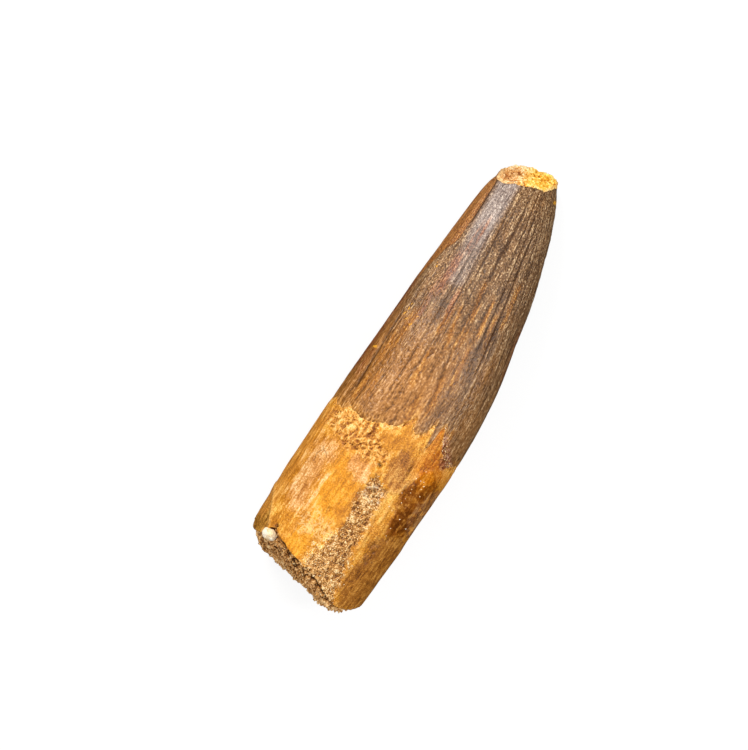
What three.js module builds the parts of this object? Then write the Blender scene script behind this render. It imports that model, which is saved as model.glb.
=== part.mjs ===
// A fossil spinosaurid tooth: a ribbed enamel crown on its root, in one fossilised piece.
// The tip is broken off on a slant and the root ends in a rough break filled with cemented sand.
// It lies on its side: +X runs from the root to the tip, +Y is the hollow side of the curve and
// +Z is up. Lengths are in millimetres.

import * as THREE from "three";

// Outline seen from above, as [x, y] stations: the hollow side and the bulging side of the curve.
const HOLLOW_SIDE = [
  [-4, 9.05],
  [8, 9.1],
  [24, 8.55],
  [40, 7.6],
  [56, 6.6],
  [64, 5.92],
  [68, 5.38],
  [70, 4.8],
  [72, 3.95],
  [75.5, 2.4],
];
const BULGING_SIDE = [
  [-4, -12.65],
  [4, -13.45],
  [16, -14.15],
  [26, -14.6],
  [33, -14.62],
  [40, -14.05],
  [48, -12.65],
  [56, -11.2],
  [64, -9.15],
  [68, -7.75],
  [71, -6.55],
  [75.5, -4.1],
];

// Height of the section over its width, at stations along x.
const THICKNESS_TO_WIDTH = [
  [-4, 0.84],
  [24, 0.83],
  [50, 0.8],
  [75.5, 0.83],
];

// How round the section is: 2 is an ellipse, and more is fuller at its shoulders.
const ROOT_FULLNESS = 2.35;
const CROWN_FULLNESS = 2.1;
const ENAMEL_EDGE_X = 26;
const FULLNESS_BLEND = 10;

// The underside bows up a little between the two places that it rests on, and is worn flat there.
const UNDERSIDE_BOW = 0.5;
const BOW_FROM_X = 26;
const BOW_TO_X = 62;
const REST_FLAT_DEPTH = 0.2;

// The keel along the hollow side: its height, and its angle above the widest line of the section
// at the enamel's edge and at the tip.
const KEEL_HEIGHT = 0.25;
const KEEL_ANGLE_LOW = 0.42;
const KEEL_ANGLE_TIP = 0.66;
const KEEL_HALF_ANGLE = 0.16;

// The root's break: where it crosses the axis, its slant across and its slant with height.
const ROOT_BREAK = { x: 0.4, perY: 0.37, atZ: 17.5, perZ: 0.18, perYZ: 0.016 };
// Its two worn corners: where each begins across the root, and how round it is.
const BULGING_CORNER = { y: -6.5, rounding: 0.085 };
const HOLLOW_CORNER = { y: 4.5, rounding: 0.1 };
// The tip's break, which faces up and forwards.
const TIP_BREAK = { x: 71.2, perY: -0.3, atZ: 8.0, perZ: -0.43 };

// Unevenness of both breaks: its height, its waves as [radians per mm along y, along z, phase],
// and how sharply it fades towards the rim.
const BREAK_RELIEF = 0.35;
const RELIEF_WAVES = [
  [0.8, 0.5, 0],
  [-0.5, 0.9, 1],
];
const RELIEF_FADE = 4;

// Mesh density.
const AROUND = 56;
const ALONG = 44;
const BREAK_RINGS = 6;
// Rounds that settle where a side meets a break.
const RIM_ROUNDS = 8;

// A smooth curve through [x, y] stations: cubic steps whose slopes join each station's neighbours.
function curveThrough(stations) {
  const last = stations.length - 1;
  const slopes = stations.map((_, i) => {
    const [x0, y0] = stations[Math.max(i - 1, 0)];
    const [x1, y1] = stations[Math.min(i + 1, last)];
    return (y1 - y0) / (x1 - x0);
  });
  return (x) => {
    const clamped = THREE.MathUtils.clamp(x, stations[0][0], stations[last][0]);
    let i = 0;
    while (i < last - 1 && stations[i + 1][0] < clamped) i += 1;
    const [x0, y0] = stations[i];
    const [x1, y1] = stations[i + 1];
    const span = x1 - x0;
    const t = (clamped - x0) / span;
    const t2 = t * t;
    const t3 = t2 * t;
    const ends = (2 * t3 - 3 * t2 + 1) * y0 + (3 * t2 - 2 * t3) * y1;
    return ends + span * ((t3 - 2 * t2 + t) * slopes[i] + (t3 - t2) * slopes[i + 1]);
  };
}

const hollowSide = curveThrough(HOLLOW_SIDE);
const bulgingSide = curveThrough(BULGING_SIDE);
const thicknessToWidth = curveThrough(THICKNESS_TO_WIDTH);

// A point's share of the way round a superellipse: cosine or sine, flattened to the given fullness.
function rounded(value, fullness) {
  return Math.sign(value) * Math.abs(value) ** (2 / fullness);
}

// How far the underside stands off the surface at x.
function undersideGap(x) {
  const share = THREE.MathUtils.clamp((x - BOW_FROM_X) / (BOW_TO_X - BOW_FROM_X), 0, 1);
  return UNDERSIDE_BOW * Math.sin(Math.PI * share) ** 2;
}

// The point at angle u round the section at x. Angle 0 is the hollow side and a quarter turn is up.
function sidePoint(u, x) {
  const left = hollowSide(x);
  const right = bulgingSide(x);
  const halfWidth = (left - right) / 2;
  const halfHeight = halfWidth * thicknessToWidth(x);
  const crown = THREE.MathUtils.smoothstep(
    x,
    ENAMEL_EDGE_X - FULLNESS_BLEND,
    ENAMEL_EDGE_X + FULLNESS_BLEND,
  );
  const fullness = THREE.MathUtils.lerp(ROOT_FULLNESS, CROWN_FULLNESS, crown);
  const keelAngle = THREE.MathUtils.mapLinear(
    x,
    ENAMEL_EDGE_X,
    TIP_BREAK.x,
    KEEL_ANGLE_LOW,
    KEEL_ANGLE_TIP,
  );
  const keel = KEEL_HEIGHT * crown * Math.exp(-(((u - keelAngle) / KEEL_HALF_ANGLE) ** 2));
  const y = (left + right) / 2 + (halfWidth + keel) * rounded(Math.cos(u), fullness);
  const z = halfHeight + (halfHeight + keel) * rounded(Math.sin(u), fullness);
  const resting = Math.max(z + undersideGap(x), REST_FLAT_DEPTH) - REST_FLAT_DEPTH;
  return new THREE.Vector3(x, y, resting);
}

// Where the root's break lies at (y, z), and where the tip's does.
function rootBreak(y, z) {
  const { x, perY, atZ, perZ, perYZ } = ROOT_BREAK;
  const bulging = BULGING_CORNER.rounding * Math.min(y - BULGING_CORNER.y, 0) ** 2;
  const hollow = HOLLOW_CORNER.rounding * Math.max(y - HOLLOW_CORNER.y, 0) ** 2;
  return x + perY * y + (z - atZ) * (perZ + perYZ * y) + bulging + hollow;
}
function tipBreak(y, z) {
  const { x, perY, atZ, perZ } = TIP_BREAK;
  return x + perY * y + (z - atZ) * perZ;
}

// Unevenness of a broken face at (y, z), from -1 to 1.
function relief(y, z) {
  const waves = RELIEF_WAVES.map(([perY, perZ, phase]) => Math.sin(perY * y + perZ * z + phase));
  return waves.reduce((total, wave) => total + wave, 0) / waves.length;
}

// The x at which the side at angle u meets a break: settled by a few rounds from a first guess.
function rimX(u, breakAt, firstX) {
  let x = firstX;
  for (let round = 0; round < RIM_ROUNDS; round += 1) {
    const { y, z } = sidePoint(u, x);
    x = breakAt(y, z);
  }
  return x;
}

// A ring of points inside a broken face: share 1 is its rim and 0 its middle.
function breakRing(rim, middle, share, breakAt) {
  return rim.map((point) => {
    const y = THREE.MathUtils.lerp(middle.y, point.y, share);
    const z = THREE.MathUtils.lerp(middle.z, point.z, share);
    const rough = BREAK_RELIEF * relief(y, z) * (1 - share ** RELIEF_FADE);
    return new THREE.Vector3(breakAt(y, z) + rough, y, z);
  });
}

function middleOf(rim) {
  const sum = rim.reduce((total, point) => total.add(point), new THREE.Vector3());
  return sum.divideScalar(rim.length);
}

// All rings of points from the root's break, over the sides, to the tip's break.
function toothRings() {
  // Angles start at the underside, so that the keel is never split between the first and the last.
  const angles = Array.from({ length: AROUND }, (_, i) => (2 * Math.PI * i) / AROUND - Math.PI / 2);
  const ends = angles.map((u) => [
    rimX(u, rootBreak, ROOT_BREAK.x),
    rimX(u, tipBreak, TIP_BREAK.x),
  ]);
  const sides = Array.from({ length: ALONG + 1 }, (_, row) =>
    angles.map((u, i) => sidePoint(u, THREE.MathUtils.lerp(ends[i][0], ends[i][1], row / ALONG))),
  );
  const shares = Array.from({ length: BREAK_RINGS - 1 }, (_, i) => (i + 1) / BREAK_RINGS);
  const rootRim = sides[0];
  const tipRim = sides[ALONG];
  const rootRings = shares.map((share) => breakRing(rootRim, middleOf(rootRim), share, rootBreak));
  const tipRings = shares.map((share) => breakRing(tipRim, middleOf(tipRim), share, tipBreak));
  return {
    rings: [...rootRings, ...sides, ...tipRings.reverse()],
    rootMiddle: middleOf(rootRings[0]),
    tipMiddle: middleOf(tipRings[tipRings.length - 1]),
  };
}

// One closed mesh: quads between neighbouring rings and a fan at each end.
function toothGeometry() {
  const { rings, rootMiddle, tipMiddle } = toothRings();
  const points = [...rings.flat(), rootMiddle, tipMiddle];
  const rootPole = rings.length * AROUND;
  const tipPole = rootPole + 1;
  const at = (ring, i) => ring * AROUND + (i % AROUND);
  const faces = [];
  for (let i = 0; i < AROUND; i += 1) {
    faces.push(rootPole, at(0, i + 1), at(0, i));
    faces.push(tipPole, at(rings.length - 1, i), at(rings.length - 1, i + 1));
    for (let ring = 0; ring < rings.length - 1; ring += 1) {
      faces.push(at(ring, i), at(ring, i + 1), at(ring + 1, i + 1));
      faces.push(at(ring, i), at(ring + 1, i + 1), at(ring + 1, i));
    }
  }
  const geometry = new THREE.BufferGeometry().setFromPoints(points);
  geometry.setIndex(faces);
  geometry.computeVertexNormals();
  geometry.computeBoundingBox();
  return geometry;
}

const fossil = new THREE.MeshStandardMaterial({ color: 0x9a6a3a, roughness: 0.55, metalness: 0 });

function makeTooth() {
  const geometry = toothGeometry();
  const tooth = new THREE.Mesh(geometry, fossil);
  tooth.name = "tooth";
  // The origin is on the surface it lies on, under the middle of its outline.
  const middle = geometry.boundingBox.getCenter(new THREE.Vector3());
  tooth.position.set(-middle.x, -middle.y, -geometry.boundingBox.min.z);
  return tooth;
}

const fossilTooth = new THREE.Group();
fossilTooth.name = "fossil_tooth";
fossilTooth.add(makeTooth());

export default fossilTooth;
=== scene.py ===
import math

import bpy
import numpy as np
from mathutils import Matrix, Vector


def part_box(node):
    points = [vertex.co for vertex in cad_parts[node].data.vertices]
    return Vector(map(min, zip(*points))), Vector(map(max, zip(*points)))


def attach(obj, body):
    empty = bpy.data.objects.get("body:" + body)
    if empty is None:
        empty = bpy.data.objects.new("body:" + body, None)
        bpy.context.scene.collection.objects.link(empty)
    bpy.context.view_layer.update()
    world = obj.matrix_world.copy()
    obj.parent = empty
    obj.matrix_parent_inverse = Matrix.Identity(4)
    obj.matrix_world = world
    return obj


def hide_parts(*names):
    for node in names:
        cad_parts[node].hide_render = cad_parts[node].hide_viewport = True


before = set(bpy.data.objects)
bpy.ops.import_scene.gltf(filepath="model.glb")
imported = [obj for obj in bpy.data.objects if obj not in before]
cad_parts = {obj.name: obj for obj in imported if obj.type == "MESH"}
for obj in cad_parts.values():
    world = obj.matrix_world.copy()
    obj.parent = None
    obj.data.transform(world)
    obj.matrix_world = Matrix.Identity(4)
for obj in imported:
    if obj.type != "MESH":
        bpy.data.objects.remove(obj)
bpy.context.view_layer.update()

MM = 0.001

# Driving dimensions, as in the part's source
HOLLOW_SIDE = [(-4, 9.05), (8, 9.1), (24, 8.55), (40, 7.6), (56, 6.6), (64, 5.92), (68, 5.38),
               (70, 4.8), (72, 3.95), (75.5, 2.4)]
BULGING_SIDE = [(-4, -12.65), (4, -13.45), (16, -14.15), (26, -14.6), (33, -14.62), (40, -14.05),
                (48, -12.65), (56, -11.2), (64, -9.15), (68, -7.75), (71, -6.55), (75.5, -4.1)]
THICKNESS_TO_WIDTH = [(-4, 0.84), (24, 0.83), (50, 0.8), (75.5, 0.83)]
ROOT_FULLNESS = 2.35
CROWN_FULLNESS = 2.1
ENAMEL_EDGE_X = 26
FULLNESS_BLEND = 10
UNDERSIDE_BOW = 0.5
BOW_FROM_X = 26
BOW_TO_X = 62
REST_FLAT_DEPTH = 0.2
KEEL_HEIGHT = 0.25
KEEL_ANGLE_LOW = 0.42
KEEL_ANGLE_TIP = 0.66
KEEL_HALF_ANGLE = 0.16
ROOT_BREAK = {"x": 0.4, "per_y": 0.37, "at_z": 17.5, "per_z": 0.18, "per_yz": 0.016}
BULGING_CORNER = {"y": -6.5, "rounding": 0.085}
HOLLOW_CORNER = {"y": 4.5, "rounding": 0.1}
TIP_BREAK = {"x": 71.2, "per_y": -0.3, "at_z": 8.0, "per_z": -0.43}
# How far the finished skins lie inside this plain surface, which leaves room for their relief.
SKIN_INSET = 0.15
# Rounds that settle a rim on the surface.
RIM_ROUNDS = 8

# The camera looks straight down. The picture's middle is over this point of the tooth's frame, and
# its long side covers this length at the height of the outline.
VIEW_CENTRE = (32.5, 4.47)
VIEW_HEIGHT = 7.0
VIEW_LENGTH = 120.0
SENSOR = 36.0
LENS = 120.0
CAMERA_DISTANCE = VIEW_LENGTH * LENS / SENSOR
# The picture's right and up, as directions along x and y.
PICTURE_RIGHT = (0.521, -0.8536)
PICTURE_UP = (0.8536, 0.521)


def curve_through(stations):
    """A smooth curve through (x, y) stations: cubic steps whose slopes join each one's neighbours."""
    xs, ys = np.array(stations, float).T
    count = np.arange(len(xs))
    before = np.maximum(count - 1, 0)
    after = np.minimum(count + 1, len(xs) - 1)
    slopes = (ys[after] - ys[before]) / (xs[after] - xs[before])

    def curve(x):
        x = np.clip(x, xs[0], xs[-1])
        i = np.clip(np.searchsorted(xs, x) - 1, 0, len(xs) - 2)
        span = xs[i + 1] - xs[i]
        t = (x - xs[i]) / span
        ends = (2 * t**3 - 3 * t**2 + 1) * ys[i] + (3 * t**2 - 2 * t**3) * ys[i + 1]
        return ends + span * ((t**3 - 2 * t**2 + t) * slopes[i] + (t**3 - t**2) * slopes[i + 1])

    return curve


hollow_side = curve_through(HOLLOW_SIDE)
bulging_side = curve_through(BULGING_SIDE)
thickness_to_width = curve_through(THICKNESS_TO_WIDTH)


def smooth(low, high, value):
    """0 below low, 1 above high, and 3t^2 - 2t^3 between them."""
    t = np.clip((value - low) / (high - low), 0, 1)
    return t * t * (3 - 2 * t)


def rounded(value, fullness):
    """A cosine or sine raised to 2 / fullness, with its sign kept: a superellipse's share."""
    return np.sign(value) * np.abs(value) ** (2 / fullness)


def side_point(u, x):
    """The side's point at angle u and station x.

    y is the outline's middle plus its half width times the rounded cosine of u, and z is the half
    height times one plus the rounded sine. A bell-shaped keel is added near its own angle, the
    underside bows up between its two rests, and what would lie under the floor is worn flat.
    """
    left = hollow_side(x)
    right = bulging_side(x)
    half_width = (left - right) / 2
    half_height = half_width * thickness_to_width(x)
    crown = smooth(ENAMEL_EDGE_X - FULLNESS_BLEND, ENAMEL_EDGE_X + FULLNESS_BLEND, x)
    fullness = ROOT_FULLNESS + (CROWN_FULLNESS - ROOT_FULLNESS) * crown
    keel = KEEL_HEIGHT * crown * np.exp(-(((u - keel_angle(x)) / KEEL_HALF_ANGLE) ** 2))
    y = (left + right) / 2 + (half_width + keel) * rounded(np.cos(u), fullness)
    z = half_height + (half_height + keel) * rounded(np.sin(u), fullness)
    share = np.clip((x - BOW_FROM_X) / (BOW_TO_X - BOW_FROM_X), 0, 1)
    gap = UNDERSIDE_BOW * np.sin(np.pi * share) ** 2
    return np.stack([x, y, np.maximum(z + gap, REST_FLAT_DEPTH) - REST_FLAT_DEPTH], -1)


def keel_angle(x):
    """The keel's angle at x: a straight line through its angles at the enamel's edge and the tip."""
    share = (x - ENAMEL_EDGE_X) / (TIP_BREAK["x"] - ENAMEL_EDGE_X)
    return KEEL_ANGLE_LOW + (KEEL_ANGLE_TIP - KEEL_ANGLE_LOW) * share


def root_break(y, z):
    """The x of the root's break at (y, z): a slanted plane, twisted a little, with worn corners."""
    plane = ROOT_BREAK["x"] + ROOT_BREAK["per_y"] * y
    twist = (z - ROOT_BREAK["at_z"]) * (ROOT_BREAK["per_z"] + ROOT_BREAK["per_yz"] * y)
    bulging = BULGING_CORNER["rounding"] * np.minimum(y - BULGING_CORNER["y"], 0) ** 2
    hollow = HOLLOW_CORNER["rounding"] * np.maximum(y - HOLLOW_CORNER["y"], 0) ** 2
    return plane + twist + bulging + hollow


def tip_break(y, z):
    """The x of the tip's break at (y, z): a slanted plane."""
    return TIP_BREAK["x"] + TIP_BREAK["per_y"] * y + (z - TIP_BREAK["at_z"]) * TIP_BREAK["per_z"]


def rim_x(u, break_at, first_x):
    """The x at which the side at angle u meets a break, settled from a first guess."""
    x = np.full_like(u, first_x)
    for _ in range(RIM_ROUNDS):
        _, y, z = np.moveaxis(side_point(u, x), -1, 0)
        x = break_at(y, z)
    return x


# Noise, with sizes in millimetres and a seed for each use

HASH_STEPS = (374761393, 668265263, 2246822519, 3266489917)
HASH_STIR = 1274126177


def hashed(cell, seed):
    """A fixed number from 0 to 1 for each whole-number cell: its bits are multiplied and stirred."""
    cell = cell.astype(np.int64)
    stirred = cell[..., 0] * HASH_STEPS[0] + cell[..., 1] * HASH_STEPS[1]
    stirred = stirred + cell[..., 2] * HASH_STEPS[2] + seed * HASH_STEPS[3]
    stirred = stirred.astype(np.uint32)
    stirred = (stirred ^ (stirred >> 13)) * np.uint32(HASH_STIR)
    stirred = (stirred ^ (stirred >> 16)) * np.uint32(HASH_STEPS[1])
    return (stirred ^ (stirred >> 15)) / float(2**32)


def soft_noise(points, size, seed=0, octaves=1):
    """Noise from -1 to 1 with lumps of this size: eight corner values, blended smoothly, and each
    further octave at half the size and half the height."""
    total = 0.0
    for octave in range(octaves):
        scaled = points * 2**octave / size
        cell = np.floor(scaled)
        t = scaled - cell
        t = t * t * (3 - 2 * t)
        value = 0.0
        for corner in np.ndindex(2, 2, 2):
            corner = np.array(corner)
            weight = np.prod(np.where(corner, t, 1 - t), -1)
            value = value + weight * hashed(cell + corner, seed + octave)
        total = total + (2 * value - 1) / 2**octave
    return total


def cell_noise(points, size, seed=0):
    """Distance to the nearest and second nearest of scattered points, one in each cell of this
    size, in cells."""
    scaled = points / size
    cell = np.floor(scaled)
    nearest = np.full(points.shape[:-1], 9.0)
    second = nearest.copy()
    for step in np.ndindex(3, 3, 3):
        other = cell + np.array(step) - 1
        scatter = np.stack([hashed(other, seed + axis) for axis in range(3)], -1)
        gap = np.linalg.norm(other + scatter - scaled, axis=-1)
        second = np.minimum(second, np.maximum(gap, nearest))
        nearest = np.minimum(nearest, gap)
    return nearest, second


def warped(points, size, amount, seed):
    """The points, each moved by up to this amount along x, y and z by a noise of its own."""
    push = [soft_noise(points, size, seed + axis, 2) for axis in range(3)]
    return points + amount * np.stack(push, -1)


def veins(points, size, seed):
    """Branching crests of this size: 1 where a noise crosses zero, falling to -1 away from there."""
    return 1 - 4 * np.minimum(np.abs(soft_noise(points, size, seed)), 0.5)


# Marks, placed as seen from above: (along, across) in millimetres. Across goes on past each outline
# by the straight distance from it, so that a mark can wrap round a side.

# Where the enamel ends, as (across, along), from the underside over the bulging side and the top to
# the underside.
ENAMEL_EDGE = [(-26, 25.6), (-20, 27.2), (-16, 25.9), (-14.5, 26.6), (-13.8, 25.9), (-13.3, 25.4),
               (-12.35, 26.1), (-11.7, 27.2), (-11.0, 28.0), (-10.5, 29.1), (-10.15, 30.2), (-9.8, 31.1),
               (-9.5, 30.7), (-9.25, 29.3), (-9.12, 27.5), (-8.93, 26.8), (-8.72, 26.9), (-8.6, 28.0),
               (-8.48, 29.6), (-8.35, 30.6), (-8.05, 30.7), (-7.8, 29.9), (-7.6, 28.8), (-7.15, 28.3),
               (-6.1, 28.0), (-5.45, 28.4), (-5.25, 29.4), (-5.05, 30.4), (-4.6, 30.0), (-3.95, 29.0),
               (-3.4, 28.3), (-2.6, 27.3), (-1.55, 26.9), (0.05, 26.3), (1.12, 25.9), (3.25, 25.6),
               (5.12, 26.0), (7.25, 25.1), (7.9, 26.0), (9.5, 26.3), (14, 24.8), (20.5, 25.6)]
# The small wave on that edge: its height and size.
EDGE_WAVE = 0.3
EDGE_WAVE_SIZE = 0.8

# The chips along the rims of both breaks: their depth and size.
RIM_CHIPS = 0.16
RIM_CHIP_SIZE = 1.1
# A seen rim gives way to the break's own slant over this length past its end at the bulging side,
# and where the sine of the angle round the section is under this much.
RIM_END_BLEND = 0.8
RIM_TURN_BLEND = 0.3
# How far along x that slant is moved into the tooth, at the bulging side and at the hollow side. One
# changes into the other between two places across.
ROOT_SET_BACK = (0.8, 0.8)
TIP_SET_BACK = (-0.45, -0.35)
SET_BACK_TURN = (1, 4)

# The upper rims of the two breaks, as (across, along).
ROOT_RIM = [(-9.1, -2.4), (-8.3, -2.2), (-6.5, -1.25), (-4.9, -0.35), (-3.1, 0.18), (-1.7, 0.53),
            (0.45, 1.15), (2.05, 1.76), (3.3, 2.3), (4.1, 2.7), (5.2, 3.7), (6.2, 2.9), (6.6, 1.9),
            (7.8, 1.3), (9.0, 1.9)]
TIP_RIM = [(-4.7, 73.0), (-4.4, 72.5), (-4.1, 72.1), (-3.45, 71.75), (-2.05, 71.6), (-1.7, 71.3),
           (0.1, 70.7), (2.05, 69.95), (3.2, 69.45), (4.0, 69.4), (4.6, 70.9)]

SAND_BAND = [(18.6, -4.2), (18.3, -5.9), (17.4, -7.1), (15.2, -7.2), (12.6, -7.1), (9.6, -7.6),
             (6.4, -7.6), (4.0, -8.0), (1.6, -8.3), (-3.5, -9.4), (-3, -4.2), (-0.6, -2.0), (2.4, -2.2),
             (5.6, -3.3), (7.6, -4.0), (9.8, -3.9), (11.2, -3.5), (17.0, -3.4)]
# The same sand on the tooth's hidden side: its middle, how much longer it is along, and its radius.
BACK_SAND = {"middle": (9, 21), "longer": 3.2, "radius": 2.0}
GOLDEN_CRUMBS = [(8.6, -3.6), (7.0, -2.6), (4.6, -1.4), (1.2, -0.4), (-1.0, -0.2), (-3, -3), (0, -6),
                 (6, -5)]
CRUST = [(27, 7.4), (27, 3), (27.6, 0.8), (25.4, -0.8), (23.8, -1.8), (23, -4.6), (21.2, -4.8),
         (20.5, -2.2), (20.1, -0.3), (20.4, 2.9), (21.2, 4.8), (21.6, 7.4)]
# The crust goes on round the hidden side, this wide below the enamel, past these places across.
HIDDEN_CRUST_WIDTH = 2.2
HIDDEN_CRUST_BULGING = (-14.4, -16.5)
HIDDEN_CRUST_HOLLOW = (8.6, 10.5)
# The crust is at least this wide all along the enamel's lower edge.
CRUST_WIDTH = 0.8
AMBER = [(23.4, -10.2), (21.3, -9.7), (20.3, -9.3), (19.2, -8.95), (18.3, -8.7), (17.8, -9.1),
         (16.0, -9.6), (14.2, -9.7), (13.1, -9.9), (11.6, -10.5), (12.0, -12.0), (12.8, -13.2),
         (16.9, -13.5), (19.5, -13.6), (22.6, -13.8), (24.2, -11.8)]
DARK_AMBER = [(17.0, -10.9), (16.6, -12.3), (13.8, -12.3), (12.8, -11.2), (14.4, -10.5)]
ORANGE = [(26.4, -9.2), (30.4, -9.3), (31.2, -9.8), (30.1, -10.3), (28.8, -10.5), (27.2, -11.6),
          (25.6, -13.0), (24.0, -13.6), (21.6, -13.4), (21.0, -11.5), (21.8, -9.6), (24.0, -9.0)]
RED_FLAKE = [(27.0, -11.8), (26.8, -12.9), (25.6, -13.3), (25.0, -12.6), (25.6, -11.9)]
PALE = [(19.6, 6.7), (20.0, 3.9), (18.2, 3.0), (12.8, 3.5), (8.6, 2.6), (7.6, 4.6), (8.8, 6.6),
        (12.8, 7.0), (16.8, 7.0)]
TAN = [(20.4, -0.2), (20.2, -3.0), (17.2, -2.9), (16.6, -1.4), (17.6, -0.2), (18.2, 0.8), (19.8, 0.8)]
GOLDEN = [(19.4, 2.2), (19.0, 0.8), (16.6, -0.4), (15.6, -3.0), (8.2, -2.4), (7.8, 0.4), (8.4, 2.2),
          (13, 3.0)]
LOW_GOLDEN = [(5.4, 1.8), (5.8, -1.0), (4.6, -2.0), (0.2, -1.6), (0.6, 3.2), (2.6, 3.6)]
NET = [(9.0, 0.8), (8.8, -2.2), (7.0, -2.9), (5.2, -2.0), (5.4, 0.8), (3.8, 2.6), (6.2, 2.8), (7.4, 3.4)]
LEFT_STRIP = [(24.5, 7.0), (24.5, 12), (3.5, 12), (4, 8.2), (9, 7.3), (16, 7.3)]
OLIVE = [(9.2, 9.0), (7.6, 8.4), (2.3, 6.2), (0.6, 7.4), (0.4, 12), (8.6, 11)]
BROWN = [(24.6, -5.4), (24.6, -7.2), (23.6, -8.8), (21.1, -9.1), (19.0, -9.1), (17.8, -7.6),
         (18.4, -6.4), (19.8, -5.4), (22.1, -4.8)]
SPECKLED = [(11.5, -9.4), (10.6, -11.6), (7.8, -11.4), (5.4, -10.8), (4.4, -9.4), (7.4, -8.8)]
LOW_AMBER = [(12.4, -10.6), (10.6, -9.8), (8.4, -8.9), (6.4, -9.2), (4.4, -8.3), (2.2, -8.1),
             (0.2, -9.0), (-2.0, -9.6), (-1, -16), (12.8, -16)]
MAUVE = [(22.4, -13.1), (21.6, -14.6), (17.5, -15.2), (13.4, -14.5), (12.6, -13.2), (14.0, -12.7),
         (18.5, -12.9)]
# Bright yellow chips along the bulging side.
CHIPS = [[(26.0, -13.6), (25.3, -14.6), (24.0, -14.5), (23.0, -13.7)],
         [(18.9, -13.85), (18.3, -14.5), (17.2, -13.95)],
         [(15.2, -13.5), (14.6, -14.2), (13.7, -13.5)]]

# The line along which the crust is full of pores, and its half width.
PORE_ROW = [(21.6, 5.0), (21.0, 3.0), (21.0, 1.0), (22.0, -0.6), (22.6, -2.2)]
PORE_ROW_HALF_WIDTH = 0.9
# A ring of lime in the sand band, like a small nest: its middle, its radii along and across, the
# width of its line as a share of them, its height and the height of its curls.
NEST = {"middle": (16.1, -5.4), "radii": (1.15, 1.45), "line": 0.2, "height": 0.1, "curls": 0.12}

# Worn ridges on the root, as lines of points, and their half width and height.
RIDGES = [[(22.4, -9.9), (21.3, -9.55), (19.2, -8.8), (18.3, -8.5), (17.8, -7.2)],
          [(17.8, -7.2), (15.6, -7.5), (13.2, -7.3), (12.0, -7.7)], [(10.6, -7.6), (8.4, -8.0), (7.4, -7.8)],
          [(16.8, -8.4), (14.6, -8.7), (12.6, -8.6)],
          [(9.6, 9.2), (7.4, 8.2), (4.6, 7.0), (2.2, 6.2)]]
RIDGE_HALF_WIDTH = 0.26
RIDGE_HEIGHT = 0.1
# Cracks and creases, as lines of points, and their half width and depth.
CREASES = [[(18.2, -3.4), (18.1, -4.3)], [(18.6, 5.6), (18.1, 5.3), (17.9, 4.6), (17.3, 4.3)],
           [(18.1, 5.3), (17.2, 5.9), (15.8, 5.7)], [(10.4, -0.3), (9.6, -0.5)]]
CREASE_HALF_WIDTH = 0.07
CREASE_DEPTH = 0.12

# Small hollows in the root: along, across, radius and depth.
PITS = [(20.6, -3.95, 0.32, 0.6), (20.8, -3.6, 0.2, 0.4), (10.55, -0.45, 0.24, 0.3),
        (10.2, -0.75, 0.18, 0.2), (3.8, 5.3, 0.3, 0.4), (16.6, -5.35, 0.26, 0.5),
        (15.7, -5.6, 0.2, 0.5), (16.4, -6.2, 0.13, 0.4), (15.3, -4.9, 0.13, 0.4),
        (21.2, 1.7, 0.25, 0.3), (20.9, 0.9, 0.25, 0.3),
        (21.6, -0.2, 0.25, 0.3), (25.6, -7.2, 0.2, 0.2), (24.6, -6.2, 0.2, 0.2), (22.7, -8.5, 0.25, 0.2),
        (21.6, -8.5, 0.25, 0.2), (10.9, -11.2, 0.2, 0.2), (9.4, -9.8, 0.28, 0.25),
        (8.2, -10.3, 0.25, 0.2), (8.9, -9.6, 0.2, 0.2), (7.4, -9.4, 0.3, 0.15), (6.2, -10.0, 0.25, 0.2)]
# Small lumps on the root: along, across, radius and height.
LUMPS = [(19.4, -4.1, 0.6, 0.35), (2.4, 3.6, 0.8, 0.1), (9.4, -5.2, 0.5, 0.15), (11.8, -5.9, 0.45, 0.2)]
# Single pale grains stuck on the amber: along, across and radius.
PALE_DOTS = [(20.0, -10.2, 0.13), (20.8, -11.5, 0.12), (21.4, -11.55, 0.1), (21.9, -10.7, 0.1),
             (22.0, -11.3, 0.09), (19.7, -11.9, 0.1), (19.4, -10.3, 0.1), (18.2, -10.1, 0.09),
             (15.9, -8.6, 0.11), (15.5, -9.4, 0.11), (14.9, -11.0, 0.09), (17.3, -9.9, 0.09),
             (14.1, -12.6, 0.12), (21.8, -9.9, 0.09), (18.7, -9.2, 0.1), (12.9, -10.6, 0.1),
             (23.6, -10.8, 0.1), (26.8, -10.3, 0.1), (31.3, -9.9, 0.1), (11.6, -10.7, 0.08)]

# Stains on the crown, as lines of points with a half width.
OCHRE_STREAKS = [([(47.2, -0.6), (44.5, -0.8)], 0.35), ([(49.0, -1.95), (45, -2.4), (41.6, -3.0)], 0.25),
                 ([(40.5, -1.2), (35, -1.3)], 0.3), ([(32.6, -3.5), (28.5, -3.6)], 0.45),
                 ([(30.6, -4.2), (28.6, -4.0)], 0.2), ([(31.4, -4.7), (29.5, -4.5)], 0.15),
                 ([(36.2, -5.5), (33.4, -6.0)], 0.35), ([(44, 4.1), (36.5, 4.3)], 0.3),
                 ([(38.9, 5.1), (35.5, 5.4)], 0.3), ([(32.2, 3.9), (29.5, 3.7)], 0.4),
                 ([(31.2, 5.2), (28.6, 5.5)], 0.3), ([(43, -6.6), (38, -7.0)], 0.25),
                 ([(51.5, -5.8), (47, -6.5)], 0.2), ([(50.2, -7.6), (46.4, -8.2)], 0.18),
                 ([(50, -4.0), (44, -4.6)], 0.22),
                 ([(56, -8.2), (50, -8.9)], 0.2), ([(30.8, -11.2), (29.6, -11.2)], 0.3),
                 ([(54, -3.3), (49, -3.9)], 0.2)]
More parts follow.
